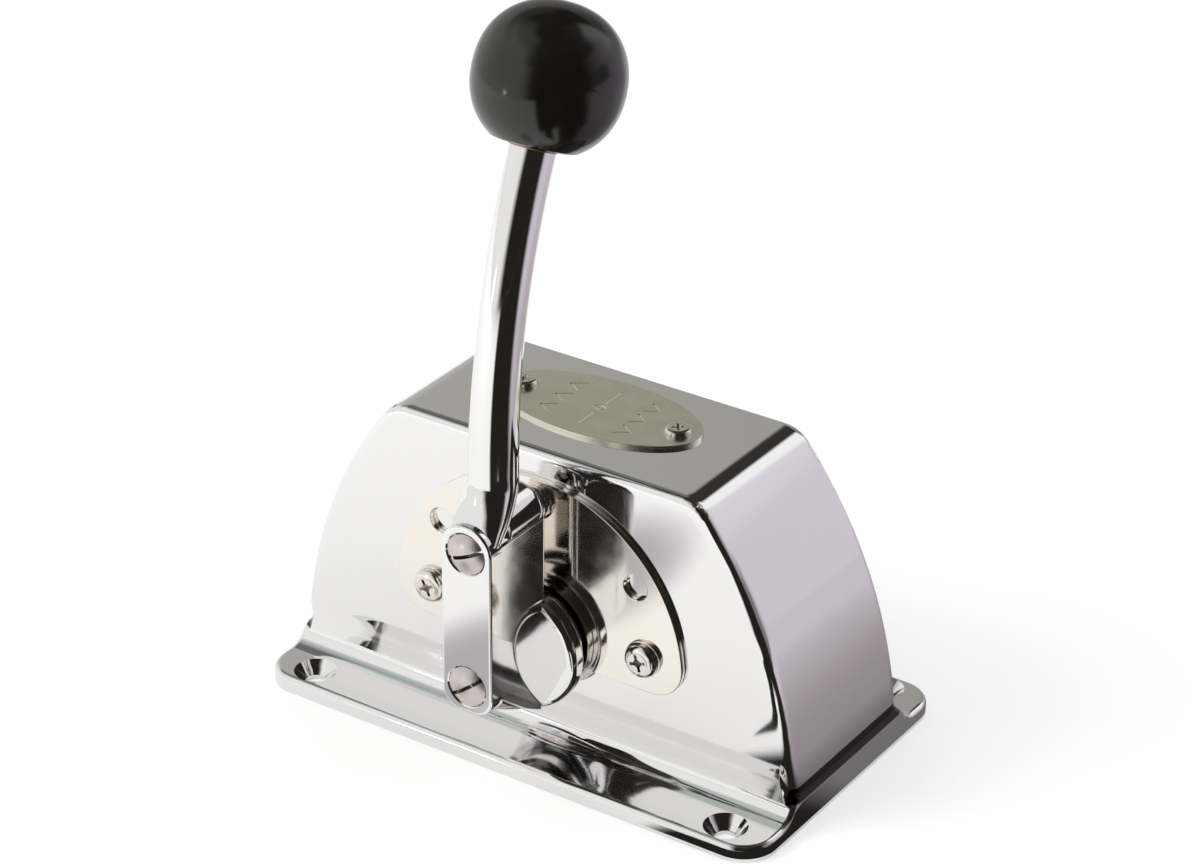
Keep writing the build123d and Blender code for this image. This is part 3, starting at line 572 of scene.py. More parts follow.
@dataclass
class Housing:
    """The hollow cast housing with its flanges, in millimetres."""

    front_y: float = -33.0
    height: float = 104.0
    wall: float = 4.0
    back_slope: float = 0.035
    half_length_at_foot: float = 93.4
    arc_radius: float = 158.5
    arc_centre_z: float = 2.0
    shoulder_radius: float = 12.0
    crease_radius: float = 5.0
    crease_squareness: float = 4.5
    crease_fade: float = 5.0
    flange_top: float = 5.5
    foot_top: float = 13.5
    cove_top: float = 22.0
    cove_blend_top: float = 26.0
    cove_fade: float = 7.0
    rim_height: float = 0.3

    def __post_init__(self) -> None:
        """Work out the centres of the outline's arcs from its sizes."""
        rise = self.foot_top - self.arc_centre_z
        self.arc_x = self.half_length_at_foot - math.sqrt(self.arc_radius**2 - rise**2)
        self.shoulder_z = self.height - self.shoulder_radius
        rise = self.shoulder_z - self.arc_centre_z
        reach = self.arc_radius - self.shoulder_radius
        self.shoulder_x = self.arc_x + math.sqrt(reach**2 - rise**2)

    def half_length(self, z: float) -> float:
        """Half length of the hump at a height."""
        return self.arc_x + math.sqrt(self.arc_radius**2 - (z - self.arc_centre_z) ** 2)

    def inside(self, middle: Vector) -> bool:
        """Whether a face's centre, in metres, lies on the hollow side of the walls."""
        x, y, z = middle / MM
        skin = self.wall / 2
        return (
            self.rim_height < z < self.height - skin
            and abs(x) < self.half_length(z) - skin
            and self.front_y + skin < y < -self.front_y - skin - self.back_slope * z
        )

    def outline(self, x: float, z: float) -> Triple:
        """Depth of a point below the hump's outline, and the X and Z of the outline's normal.

        Args:
            x: The point's place along the housing.
            z: Its height.

        Returns:
            The depth and the normal's two parts.
        """
        side = math.copysign(1.0, x)
        across = abs(x) - self.shoulder_x
        above = z - self.shoulder_z
        if across <= 0 and above > 0:
            return self.height - z, 0.0, 1.0
        slope = (self.shoulder_z - self.arc_centre_z) / (self.shoulder_x - self.arc_x)
        radius = self.shoulder_radius
        if above <= 0 or above < slope * across:
            across = abs(x) - self.arc_x
            above = z - self.arc_centre_z
            radius = self.arc_radius
        reach = math.hypot(across, above)
        return radius - reach, side * across / reach, above / reach

    def crisp(self, corner: Vector) -> Vector:
        """Move a corner of the front crease's round outwards, so that the crease turns faster.

        Args:
            corner: Its place, in millimetres.

        Returns:
            Its new place.
        """
        depth, normal_x, normal_z = self.outline(corner.x, corner.z)
        inward = self.crease_radius - depth
        front = self.front_y + self.crease_radius - corner.y
        if min(inward, front) <= 0.01 or math.hypot(inward, front) > self.crease_radius + 0.1:
            return corner
        power = self.crease_squareness
        grow = self.crease_radius / (inward**power + front**power) ** (1 / power) - 1
        grow *= eased(corner.z, self.foot_top, self.foot_top + self.crease_fade)
        return corner + Vector((normal_x * inward, -front, normal_z * inward)) * grow

    def lifted(self, corner: Vector) -> Vector:
        """Draw a corner of the front cove upwards, so that the cove is taller than it is deep.

        Args:
            corner: Its place, in millimetres.

        Returns:
            Its new place.
        """
        x, y, z = corner
        face = self.front_y + self.crease_radius
        if not self.flange_top < z < self.cove_blend_top or y > face:
            return corner
        share = eased(self.half_length_at_foot - abs(x), 0.0, self.cove_fade)
        share *= eased(-y, -face, -self.front_y)
        if z < self.foot_top:
            low, high, new_low, new_high = (
                self.flange_top, self.foot_top, self.flange_top, self.cove_top
            )
        else:
            low, high, new_low, new_high = (
                self.foot_top, self.cove_blend_top, self.cove_top, self.cove_blend_top
            )
        raised = new_low + (z - low) * (new_high - new_low) / (high - low)
        return Vector((x, y, z + share * (raised - z)))

    def build(self) -> None:
        """Copy the casting's skin, crisp its creases and give its hollow the raw finish."""
        skin = Bench.merged_copy("housing", "housing_casting")
        for corner in skin.data.vertices:
            if not self.inside(corner.co):
                corner.co = self.lifted(self.crisp(corner.co / MM)) * MM
        Bench.smooth(skin)
        for finish in (CASTING, RAW):
            skin.data.materials.append(finish.material())
        for face in skin.data.polygons:
            face.material_index = int(self.inside(face.center))
        fit(skin, CASTING, Body.BASE, "housing")


@dataclass(frozen=True)
class PanScrew:
    """A round-shouldered pan head screw with a cross recess, in millimetres.

    A share is of the head's radius, or of its height for what is measured along its axis;
    the point's depth is a share of the cross's depth.
    """

    radius: float
    height: float
    flange: float = 0.45
    brim_share: float = 0.18
    body_share: float = 0.74
    crown_share: float = 0.08
    shoulder_share: float = 0.6
    crown_inset_share: float = 0.2
    span_share: float = 1.16
    blade_share: float = 0.21
    point_share: float = 0.24
    cross_depth_share: float = 0.62
    point_depth_share: float = 1.25
    blade_proud: float = 0.02
    point_proud: float = 0.5
    blade_taper: float = 0.62
    point_taper: float = 0.4

    def make(self, name: str) -> Piece:
        """Turn the head, round its shoulder, dome its top and press the cross into it.

        Args:
            name: The object's name.

        Returns:
            A screw head that stands on the origin and points up.
        """
        head = Bench.cylinder(name, self.radius, 0.0, self.height * self.brim_share, sides=56)
        Bench.edit_faces(head, facing(0, 0, 1))
        bpy.ops.mesh.inset(thickness=self.flange * MM)
        bpy.ops.mesh.extrude_region_move(
            TRANSFORM_OT_translate={"value": mm(0, 0, self.height * self.body_share)}
        )
        shoulder = self.height * self.shoulder_share * MM
        bpy.ops.mesh.bevel(offset=shoulder, segments=7, profile=0.56, affect="EDGES")
        bpy.ops.object.mode_set(mode="OBJECT")
        top = self.height * (self.brim_share + self.body_share) * MM
        Bench.edit_faces(head, lambda middle, normal: normal.z > 0.99 and middle.z > top * 0.97)
        bpy.ops.mesh.inset(thickness=self.radius * self.crown_inset_share * MM)
        bpy.ops.transform.translate(value=mm(0, 0, self.height * self.crown_share))
        Bench.clean(head)
        self.press_cross(head)
        Bench.clean(head)
        Bench.ease(head, width=0.09, steps=2, degrees=40)
        return head

    def press_cross(self, head: Piece) -> None:
        """Press the cross: two tapered blades and a point in the middle."""
        span, blade = self.radius * self.span_share, self.radius * self.blade_share
        depth = self.height * self.cross_depth_share
        middle = mm(0, 0, self.height + self.blade_proud)
        tools = [
            Bench.block("blade", mm(span, blade, 2 * depth), middle, turn)
            for turn in (0.0, 90.0)
        ]
        tools.append(
            Bench.cylinder(
                "point", self.radius * self.point_share,
                self.height - depth * self.point_depth_share,
                self.height + self.point_proud, sides=20,
            )
        )
        for tool, taper in zip(tools, (self.blade_taper, self.blade_taper, self.point_taper)):
            Bench.edit_faces(tool, facing(0, 0, -1))
            bpy.ops.transform.resize(value=(taper, taper, 1.0), center_override=(0, 0, 0))
            Bench.clear()
            Bench.combine(head, tool)

    def drive(self, name: str, place: Matrix, node: str) -> None:
        """Make the head, drive it home and let it stand for its CAD node.

        Args:
            name: The head's object name.
            place: From the bench to its seat.
            node: The CAD node that it stands for.
        """
        head = self.make(name)
        Bench.stand(head, place)
        Bench.smooth(head, degrees=35)
        fit(head, SCREW, Body.BASE, node)


@dataclass
class LegendPlate:
    """The oval plate on top with its two screws and its marks, in millimetres."""

    half_length: float = 36.4
    half_width: float = 18.6
    thickness: float = 1.2
    edge: float = 0.3
    seat_z: float = 104.0
    screw: PanScrew = PanScrew(4.5, 1.9, 0.3)
    screw_x: float = 28.9
    screw_turns: tuple[float, float] = (12.0, 38.0)
    mark_width: float = 0.42
    mark_depth: float = 0.28
    line_from: float = 3.1
    line_to: float = 12.4
    nought_size: float = 6.4
    chevron_x: float = 14.6
    chevron_half_length: float = 2.2
    chevron_half_width: float = 2.9
    chevron_pitch: float = 8.4

    def __post_init__(self) -> None:
        """Work out the height of the plate's face."""
        self.face_z = self.seat_z + self.thickness

    def stroke(self, plate: Piece, start: Vector, end: Vector) -> None:
        """Engrave one straight stroke into the plate's face.

        Args:
            plate: The plate, in place.
            start: One end on the plate, as X and Y in metres.
            end: The other end.
        """
        along = end - start
        middle = (start + end) / 2
        width = self.mark_width * MM
        tool = Bench.block(
            "graver", Vector((along.length + width, width, 2 * self.mark_depth * MM)),
            Vector((middle.x, middle.y, self.face_z * MM)),
            math.degrees(math.atan2(along.y, along.x)),
        )
        Bench.combine(plate, tool)

    def zero(self, plate: Piece) -> None:
        """Engrave the neutral mark, a nought that reads along the plate's width."""
        Bench.clear()
        bpy.ops.object.text_add()
        text = bpy.context.view_layer.objects.active.data
        text.body = "0"
        text.size = self.nought_size * MM
        text.extrude = self.mark_depth * MM
        text.align_x = text.align_y = "CENTER"
        bpy.ops.object.convert(target="MESH")
        nought = bpy.context.view_layer.objects.active
        Bench.stand(nought, spot(0, 0, self.face_z, turn_z=90))
        Bench.clean(nought)
        Bench.combine(plate, nought)

    def chevrons(self, plate: Piece, side: int) -> None:
        """Engrave three chevrons that point away from neutral.

        Args:
            plate: The plate, in place.
            side: -1 for ahead, 1 for astern.
        """
        back = side * (self.chevron_x - self.chevron_half_length)
        for y in (-self.chevron_pitch, 0.0, self.chevron_pitch):
            tip = mm(side * (self.chevron_x + self.chevron_half_length), y)
            for end in (-self.chevron_half_width, self.chevron_half_width):
                self.stroke(plate, mm(back, y + end), tip)

    def build(self) -> None:
        """Cut the oval, ease its rim, engrave it and set its screws."""
        plate = Bench.cylinder("legend_oval", 1.0, self.seat_z, self.face_z, sides=160)
        Bench.edit(plate, "VERT", everything=True)
        bpy.ops.transform.resize(
            value=(self.half_length, self.half_width, 1.0), center_override=(0, 0, 0)
        )
        Bench.clear()
        Bench.rim(plate, facing(0, 0, 1), self.edge, 3)
        self.stroke(plate, mm(0, -self.line_to), mm(0, -self.line_from))
        self.stroke(plate, mm(0, self.line_from), mm(0, self.line_to))
        self.zero(plate)
        for side in (-1, 1):
            self.chevrons(plate, side)
        Bench.clean(plate)
        Bench.smooth(plate, degrees=25)
        fit(plate, SATIN, Body.BASE, "legend_plate")
        for number, turn in enumerate(self.screw_turns, 1):
            x = -self.screw_x if number == 1 else self.screw_x
            place = spot(x, 0, self.face_z, turn_z=turn)
            self.screw.drive(f"legend_head_{number}", place, f"legend_screw_{number}")


@dataclass
class QuadrantPlate:
    """The half-moon plate on the front face with its three screws, in millimetres.

    Each screw has its X, its height and its cross's turn.
    """

    face_y: float = -35.0
    screw: PanScrew = PanScrew(6.2, 3.8)
    screws: tuple[Triple, ...] = ((-40.1, 45.2, 28.0), (40.1, 45.2, 18.0), (0.0, 88.0, 40.0))

    def build(self) -> None:
        """Copy the plate's skin, ease its rims and set its screws."""
        plate = Bench.merged_copy("quadrant_plate", "quadrant_sheet")
        Bench.edit(plate, "FACE", everything=True)
        bpy.ops.mesh.dissolve_limited(angle_limit=math.radians(0.4))
        Bench.clear()
        Bench.ease(plate, width=0.35, steps=3, degrees=60)
        Bench.smooth(plate, degrees=30)
        fit(plate, SHEET, Body.BASE, "quadrant_plate")
        for number, (x, z, turn) in enumerate(self.screws, 1):
            place = spot(x, self.face_y, z, 90, turn)
            self.screw.drive(f"quadrant_head_{number}", place, f"quadrant_screw_{number}")


@dataclass
class TongueScrew:
    """A slotted screw with a low domed head in a countersink, in millimetres."""

    node: str
    z: float
    slot_turn: float
    face_y: float = -72.3
    radius: float = 6.6
    rise: float = 2.2
    cone_depth: float = 2.6
    cone_share: float = 0.6
    slot_width: float = 1.2
    slot_depth: float = 2.5

    def build(self) -> None:
        """Cut the dome from a ball, draw its cone down, saw the slot and set the screw."""
        ball_radius = (self.radius**2 + self.rise**2) / (2 * self.rise)
        Bench.clear()
        bpy.ops.mesh.primitive_uv_sphere_add(
            segments=64, ring_count=96, radius=ball_radius * MM,
            location=mm(0, 0, self.rise - ball_radius),
        )
        head = Bench.named(f"{self.node}_head")
        Bench.edit(head, "VERT", everything=True)
        bpy.ops.mesh.bisect(plane_co=(0, 0, 0), plane_no=(0, 0, 1), clear_inner=True)
        Bench.edit_edges(head, at_waist)
        bpy.ops.mesh.extrude_region_move(
            TRANSFORM_OT_translate={"value": mm(0, 0, -self.cone_depth)}
        )
        bpy.ops.transform.resize(
            value=(self.cone_share, self.cone_share, 1.0), center_override=(0, 0, 0)
        )
        bpy.ops.mesh.edge_face_add()
        Bench.clean(head)
        saw = Bench.block(
            "saw", mm(4 * self.radius, self.slot_width, 2 * self.slot_depth),
            mm(0, 0, self.rise), self.slot_turn,
        )
        # The manifold solver refuses this dome, so the exact one saws it.
        Bench.combine(head, saw, solver="EXACT")
        Bench.clean(head)
        Bench.ease(head, width=0.14, steps=2, degrees=35)
        Bench.stand(head, spot(0, self.face_y, self.z, 90))
        Bench.smooth(head, degrees=32)
        fit(head, TONGUE_SCREW, Body.LEVER, self.node)


@dataclass
class NeckRing:
    """One section of the forging's neck, in millimetres; its tilt is backwards, in degrees."""

    y: float
    z: float
    tilt: float
    half_width: float
    half_depth: float
    squareness: float = 2.0

    def lay(self, corners: int) -> Piece:
        """Lay one round with some corners and press it to the section's shape."""
        Bench.clear()
        bpy.ops.mesh.primitive_circle_add(vertices=corners, radius=1.0)
        made = Bench.named("section")
        power = self.squareness
        for corner in made.data.vertices:
            size = (abs(corner.co.x) ** power + abs(corner.co.y) ** power) ** (1 / power)
            corner.co.x *= self.half_width * MM / size
            corner.co.y *= self.half_depth * MM / size
        Bench.stand(made, spot(0, self.y, self.z, -self.tilt))
        return made


@dataclass
class Lever:
    """The forged lever, the arm casting with its hub, and the tongue screws.

    All sizes are in millimetres, apart from the bend's degrees.
    """

    screws: tuple[TongueScrew, ...] = (
        TongueScrew("tongue_screw_upper", 86.7, 23.0),
        TongueScrew("tongue_screw_lower", 40.0, 37.0),
    )
    tongue_front_y: float = -72.5
    tongue_back_y: float = -66.5
    tongue_half_width: float = 9.2
    tongue_low: float = 30.9
    tongue_high: float = 96.0
    tongue_top_corner: float = 8.46
    tongue_bottom_corner: float = 6.5
    tongue_edge: float = 0.9
    countersink_radius: float = 7.3
    countersink_depth: float = 4.3
    neck: tuple[NeckRing, ...] = (
        NeckRing(-69.3, 83.0, 0, 8.9, 2.4, 5.0),
        NeckRing(-69.0, 87.5, 8, 8.9, 2.9, 4.2),
        NeckRing(-67.9, 90.4, 27, 9.0, 3.8, 3.2),
        NeckRing(-66.1, 92.7, 43, 9.0, 5.0, 2.6),
        NeckRing(-63.9, 94.9, 46, 8.9, 6.2, 2.3),
        NeckRing(-61.8, 97.4, 40, 8.6, 7.1, 2.1),
        NeckRing(-59.9, 100.4, 28, 8.3, 7.7, 2.03),
        NeckRing(-58.4, 103.4, 14, 8.0, 7.9),
    )
    rod_y: float = -57.6
    rod_start_z: float = 106.0
    rod_radius_low: float = 7.8
    rod_radius_high: float = 7.2
    bend_radius: float = 250.0
    bend_degrees: float = 23.7
    bend_steps: int = 28
    ring_corners: int = 64
    barrel_radius: float = 9.0
    barrel_z: float = 91.0
    barrel_front_y: float = -64.5
    barrel_back_y: float = -42.1
    barrel_edge: float = 4.0

    def rod_ring(self, share: float) -> NeckRing:
        """The round section of the bent rod at a share of its length."""
        turn = self.bend_degrees * share
        angle = math.radians(turn)
        slimming = (self.rod_radius_high - self.rod_radius_low) * eased(share, 0.0, 0.5)
        radius = self.rod_radius_low + slimming
        return NeckRing(
            self.rod_y + self.bend_radius * (1 - math.cos(angle)),
            self.rod_start_z + self.bend_radius * math.sin(angle), turn, radius, radius,
        )

    def bar(self) -> Piece:
        """Bridge the sections from the tongue to the ball into the neck and rod."""
        rod = [self.rod_ring(step / self.bend_steps) for step in range(self.bend_steps + 1)]
        rings = [section.lay(self.ring_corners) for section in (*self.neck, *rod)]
        Bench.clear()
        for made in rings:
            made.select_set(True)
        bpy.context.view_layer.objects.active = rings[0]
        bpy.ops.object.join()
        bar = bpy.context.view_layer.objects.active
        Bench.edit(bar, "EDGE", everything=True)
        bpy.ops.mesh.bridge_edge_loops()
        bpy.ops.mesh.select_all(action="SELECT")
        bpy.ops.mesh.fill_holes(sides=0)
        Bench.clean(bar)
        return bar

    def tongue(self) -> Piece:
        """Round the tongue's ends, ease its front rim and countersink it."""
        high, low = self.tongue_high, self.tongue_low
        front, back = self.tongue_front_y, self.tongue_back_y
        blank = Bench.block(
            "lever_forging", mm(2 * self.tongue_half_width, back - front, high - low),
            mm(0, (front + back) / 2, (high + low) / 2),
        )
        for end, corner in ((high, self.tongue_top_corner), (low, self.tongue_bottom_corner)):
            level = end * MM
            Bench.edit_edges(
                blank,
                lambda a, b: max(abs(a.z - level), abs(b.z - level), abs(a.x - b.x)) < HAIR,
            )
            bpy.ops.mesh.bevel(offset=corner * MM, segments=14, affect="EDGES")
        Bench.rim(blank, facing(0, -1, 0, 0.99), self.tongue_edge, 4)
        Bench.clean(blank)
        depth = self.countersink_depth
        for screw in self.screws:
            Bench.clear()
            bpy.ops.mesh.primitive_cone_add(
                vertices=72, radius1=(self.countersink_radius + 1) * MM,
                radius2=(self.countersink_radius - depth) * MM, depth=(depth + 1) * MM,
                location=mm(0, front + (depth - 1) / 2, screw.z),
                rotation=(-math.radians(90), 0, 0),
            )
            Bench.combine(blank, Bench.named("countersink"))
        return blank

    def arm(self) -> Piece:
        """The arm's skin with the half round that closes its top behind the rod."""
        casting = Bench.merged_copy("arm", "arm_casting")
        barrel = Bench.cylinder(
            "barrel", self.barrel_radius, -self.barrel_back_y, -self.barrel_front_y, 96
        )
        Bench.rim(barrel, lambda middle, normal: abs(normal.z) > 0.9, self.barrel_edge, 8)
        Bench.stand(barrel, spot(0, 0, self.barrel_z, 90))
        Bench.combine(casting, barrel, "UNION")
        return casting

    def build(self) -> None:
        """Join the forging, close the arm's top, then set the ring and the screws."""
        forging = self.tongue()
        Bench.combine(forging, self.bar(), "UNION")
        Bench.smooth(forging, degrees=32)
        fit(forging, FORGING, Body.LEVER, "lever")
        casting = self.arm()
        Bench.smooth(casting, degrees=32)
        fit(casting, CASTING, Body.LEVER, "arm")
        ring = Bench.merged_copy("hub_ring", "hub_spacer_ring")
        Bench.ease(ring, width=0.4, steps=3, degrees=60)
        Bench.smooth(ring)
        fit(ring, CASTING, Body.LEVER, "hub_ring")
        for screw in self.screws:
            screw.build()


@dataclass
class Knob:
    """The moulded ball and its metal insert, in millimetres along the rod's own line."""

    rod_end: Triple = (0.0, -36.52, 206.49)
    lean_degrees: float = 23.7
    radius: float = 23.1
    flat_distance: float = 20.0
    flat_edge: float = 1.4
    flat_inset: float = 1.2
    show: float = 0.8
    squareness: float = 2.15
    insert_radius: float = 7.6
    insert_length: float = 3.4
    insert_gap: float = 0.02
    insert_edge: float = 0.3
    hole_depth: float = 3.0
    flash: float = 0.07
    flash_width: float = 0.28

    def place(self) -> Matrix:
        """From the bench to the rod's end: Z runs along the rod, the origin is its end."""
        return spot(*self.rod_end, -self.lean_degrees)

    def ball(self) -> Piece:
        """Shape the ball: fuller shoulders, a flat with a round rim, and the mould's flash line.

        Returns:
            The ball on the bench, with its middle at the origin.
        """
        Bench.clear()
        bpy.ops.mesh.primitive_uv_sphere_add(segments=128, ring_count=80, radius=self.radius * MM)
        ball = Bench.named("ball_grip")
        power = self.squareness
        for corner in ball.data.vertices:
            x = math.hypot(corner.co.x, corner.co.y) / corner.co.length
            z = abs(corner.co.z) / corner.co.length
            corner.co *= (x**power + z**power) ** (-1 / power)
        Bench.edit(ball, "VERT", everything=True)
        bpy.ops.mesh.bisect(
            plane_co=mm(0, 0, -self.flat_distance), plane_no=(0, 0, 1), use_fill=True,
            clear_inner=True,
        )
        flat = -self.flat_distance * MM + HAIR
        Bench.rim(
            ball, lambda middle, normal: middle.z < flat and normal.z < -0.9, self.flat_edge, 5
        )
        Bench.edit_faces(ball, lambda middle, normal: middle.z < flat and normal.z < -0.99)
        bpy.ops.mesh.inset(thickness=self.flat_inset * MM)
        Bench.edit_edges(ball, at_waist)
        bpy.ops.mesh.bevel(offset=self.flash_width * MM, segments=2, affect="EDGES")
        Bench.edit_edges(ball, at_waist)
        out = 1 + self.flash / self.radius
        bpy.ops.transform.resize(value=(out, out, 1.0), center_override=(0, 0, 0))
        Bench.clear()
        hole = Bench.cylinder(
            "insert_hole", self.insert_radius, -self.flat_distance - self.hole_depth,
            -self.flat_distance + self.hole_depth,
        )
        Bench.combine(ball, hole)
        Bench.clean(ball)
        return ball

    def build(self) -> None:
        """Make the ball and its insert and set them on the rod."""
        ball = self.ball()
        Bench.stand(ball, self.place() @ spot(0, 0, self.flat_distance + self.show))
        Bench.smooth(ball, degrees=40)
        fit(ball, PHENOLIC, Body.LEVER, "ball_knob")
        insert = Bench.cylinder(
            "knob_insert_ring", self.insert_radius - self.insert_gap, 0.0, self.insert_length
        )
        Bench.rim(insert, facing(0, 0, -1), self.insert_edge, 3)
        Bench.stand(insert, self.place())
        Bench.smooth(insert)
        fit(insert, BRONZE, Body.LEVER, "knob_insert")


@dataclass
class Mechanism:
    """The works inside, which keep the CAD meshes and get real finishes."""

    bronze: tuple[str, ...] = (
        "spindle_washer", "thrust_washer", "shift_swivel", "throttle_swivel",
    )
    bright: tuple[str, ...] = ("shaft_bush",)
    coil_radius: float = 2.6
    coil_wire: float = 0.4
    coil_turns: int = 9

    def coil(self) -> None:
        """Wind the detent spring from one round of wire, in millimetres."""
        low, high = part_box("detent_spring")
        middle = (low + high) / 2
        wire = self.coil_wire * MM
        Bench.clear()
        bpy.ops.mesh.primitive_circle_add(
            vertices=10, radius=wire, location=mm(self.coil_radius, 0, 0),
            rotation=(math.radians(90), 0, 0),
        )
        coil = Bench.named("detent_coil")
        Bench.apply(
            coil, "SCREW", axis="Z", angle=2 * math.pi, iterations=self.coil_turns,
            screw_offset=(high.z - low.z - 2 * wire) / self.coil_turns, steps=24,
            render_steps=24,
        )
        Bench.edit(coil, "EDGE")
        bpy.ops.mesh.select_non_manifold()
        bpy.ops.mesh.edge_face_add()
        Bench.clean(coil)
        Bench.stand(coil, Matrix.Translation((middle.x, middle.y, low.z + wire)))
        Bench.smooth(coil, degrees=50)
        fit(coil, STEEL, Body.BASE, "detent_spring")

    def build(self) -> None:
        """Wind the coil, then dress every CAD node that no piece stands for."""
        self.coil()
        for name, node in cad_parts.items():
            if node.hide_render:
                continue
            finish = BRONZE if name in self.bronze else SCREW if name in self.bright else STEEL
            finish.dress(node)
            log.info("%s keeps its CAD mesh", name)


@dataclass
class Lamp:
    """A soft square lamp, in metres and watts."""

    name: str
    place: Triple
    size: float
    power: float
    mirrored: bool = False

    def build(self) -> None:
        """Hang the lamp so that it faces the middle of the object."""
        data = bpy.data.lights.new(self.name, "AREA")
        data.shape = "SQUARE"
        data.size = self.size
        data.energy = self.power
        lamp = bpy.data.objects.new(self.name, data)
        bpy.context.scene.collection.objects.link(lamp)
        lamp.visible_glossy = self.mirrored
        lamp.location = self.place
        aim = mm(0, 0, 90) - Vector(self.place)
        lamp.rotation_euler = aim.to_track_quat("-Z", "Y").to_euler()


@dataclass
class Band:
    """Tones round the tent, each at a bearing from the front towards +X, in degrees.

    They replace the band below over a range of lifts, in degrees too.
    """

    fade_from: float
    fade_to: float
    tones: Tones


@dataclass
class ReflectionTent:
    """The cloths that stand round polished metal in a studio; only mirrors see them.

    Lengths are in metres. A share lies at a bearing, as a band's tones do. The tones of the
    table lie at shares of its reach, from the foot outwards, and grow darker towards the foot as
    a painted shadow.
    """

    radius: float = 2.9
    table_z: float = 0.0012
    dome_z: float = 0.002
    half_length: float = 0.095
    half_depth: float = 0.0565
    reach_limit: float = 0.4
    # Shares of the table that its painted tones cover, and of its dark cards, far and near, which
    # paint dark reflections.
    table_right: Shares = (
        (-180, 0.0), (60, 0.0), (66, 1.0), (166, 1.0), (176, 0.0), (180, 0.0),
    )
    table_dark_far: Shares = (
        (-180, 0.0), (12, 0.0), (18, 1.0), (84, 1.0), (97, 0.0), (180, 0.0),
    )
    table_dark_near: Shares = (
        (-180, 0.0), (43, 0.0), (47, 1.0), (78, 1.0), (90, 0.0), (180, 0.0),
    )
    near_until: float = 0.24
    far_from: float = 0.36
    # Where the strip of painted dark reflection lies on the table.
    strip_slope: float = 1.48
    strip_middle: float = 0.026
    strip_half_width: float = 0.036
    strip_fade: float = 0.003
    strip_start: float = 0.056
    # The painted shadow ahead: its middle and size, its soft edge and core, and its tone.
    pool_middle: tuple[float, float] = (-0.042, -0.128)
    pool_size: tuple[float, float] = (0.022, 0.042)
    pool_edge: float = 1.9
    pool_core: float = 0.1
    shadow_pool_tone: str = "#BAB7B9"
    # Painted shadow: the table's tones are darkest at the foot and grow paler outwards.
    table_tones: Tones = (
        (0.0, "#747273"), (0.035, "#7B777A"), (0.07, "#979094"), (0.17, "#A39A9D"),
        (0.35, "#B8AFB4"), (0.8, "#CBC5CD"), (1.0, "#CFC9D2"),
    )
    # The dark cards' colour, which paints dark reflections.
    dark: str = "#24221F"
    bands: tuple[Band, ...] = (
        Band(0, 0, (
            (-180, "#A5A1A2"), (-146, "#A5A1A2"), (-100, "#F2F2F0"), (-8, "#F2F2F0"),
            (10, "#24221F"), (92, "#24221F"), (102, "#7B797A"), (124, "#7B797A"),
            (136, "#D6D0DA"), (150, "#DAD4DE"), (166, "#C9C5C8"), (180, "#A5A1A2"),
        )),
        Band(14, 20, (
            (-180, "#858180"), (-152, "#A3A29D"), (-140, "#ACABA6"), (-105, "#DDDDDB"),
            (-85, "#F0F0EE"), (-8, "#F0F0EE"), (10, "#24221F"), (88, "#24221F"),
            (104, "#8F8A8C"), (130, "#DAD4DE"), (146, "#E6E0EA"), (152, "#FFFFFF"),
            (165, "#FFFFFF"), (171, "#858180"), (180, "#858180"),
        )),
        Band(33, 39, (
            (-180, "#35322F"), (-157, "#35322F"), (-148, "#72716D"), (-118, "#706F6B"),
            (-100, "#A2A3A2"), (-85, "#D5D8D6"), (-60, "#F4F4F2"), (-20, "#F4F4F2"),
            (0, "#6A6764"), (14, "#24221F"), (95, "#24221F"), (125, "#6A6566"),
            (146, "#FFFFFF"), (166, "#FFFFFF"), (173, "#35322F"), (180, "#35322F"),
        )),
        Band(50, 57, (
            (-180, "#33302D"), (-112, "#33302D"), (-100, "#8F989C"), (-85, "#AEB7B8"),
            (-70, "#B9C2BC"), (-45, "#BEC6C0"), (-20, "#BEC6C0"), (5, "#45423F"),
            (110, "#33302D"), (132, "#625E60"), (160, "#625E60"), (172, "#33302D"),
            (180, "#33302D"),
        )),
        Band(68, 78, ((-180, "#33302D"), (180, "#33302D"))),
    )

    @staticmethod
    def around(graph: Graph, turn: Socket, tones: Tones | Shares) -> Socket:
        """Lay tones or plain shares round the tent by their bearing in degrees."""
        stops = [
            (
                (bearing + 180) / 360,
                srgb(tone) if isinstance(tone, str) else (tone, tone, tone, 1.0),
            )
            for bearing, tone in tones
        ]
        return graph.add("ValToRGB", turn, stops=stops)

    @staticmethod
    def bearing(graph: Graph, x: Socket, y: Socket) -> Socket:
        """A point's bearing, from 0 to 1."""
        ahead = graph.add("Math", y, -1.0, operation="MULTIPLY")
        angle = graph.add("Math", x, ahead, operation="ARCTAN2")
        return graph.add("MapRange", angle, -math.pi, math.pi)

    @staticmethod
    def cloth(piece: Piece) -> Graph:
        """Make a piece a mirrors-only card with an empty material, and return its graph."""
        piece.visible_camera = False
        piece.visible_diffuse = False
        piece.visible_shadow = False
        piece.visible_transmission = False
        made, graph = Graph.of_material(piece.name)
        piece.data.materials.append(made)
        return graph

    def strip(self, graph: Graph, x: Socket, y: Socket) -> Socket:
        """A painted dark reflection: a dark strip on the table, ahead and to the right, that the
        arm's side mirrors.
        """
        slant = graph.add("Math", x, self.strip_slope, operation="MULTIPLY")
        line = graph.add("Math", y, slant, operation="ADD")
        off = graph.add("Math", line, self.strip_middle, operation="ADD")
        off = graph.add("Math", off, operation="ABSOLUTE")
        width = self.strip_half_width
        inside = graph.add("MapRange", off, width + self.strip_fade, width)
        beyond = graph.add("Math", x, self.strip_start, operation="GREATER_THAN")
        return graph.add("Math", inside, beyond, operation="MULTIPLY")

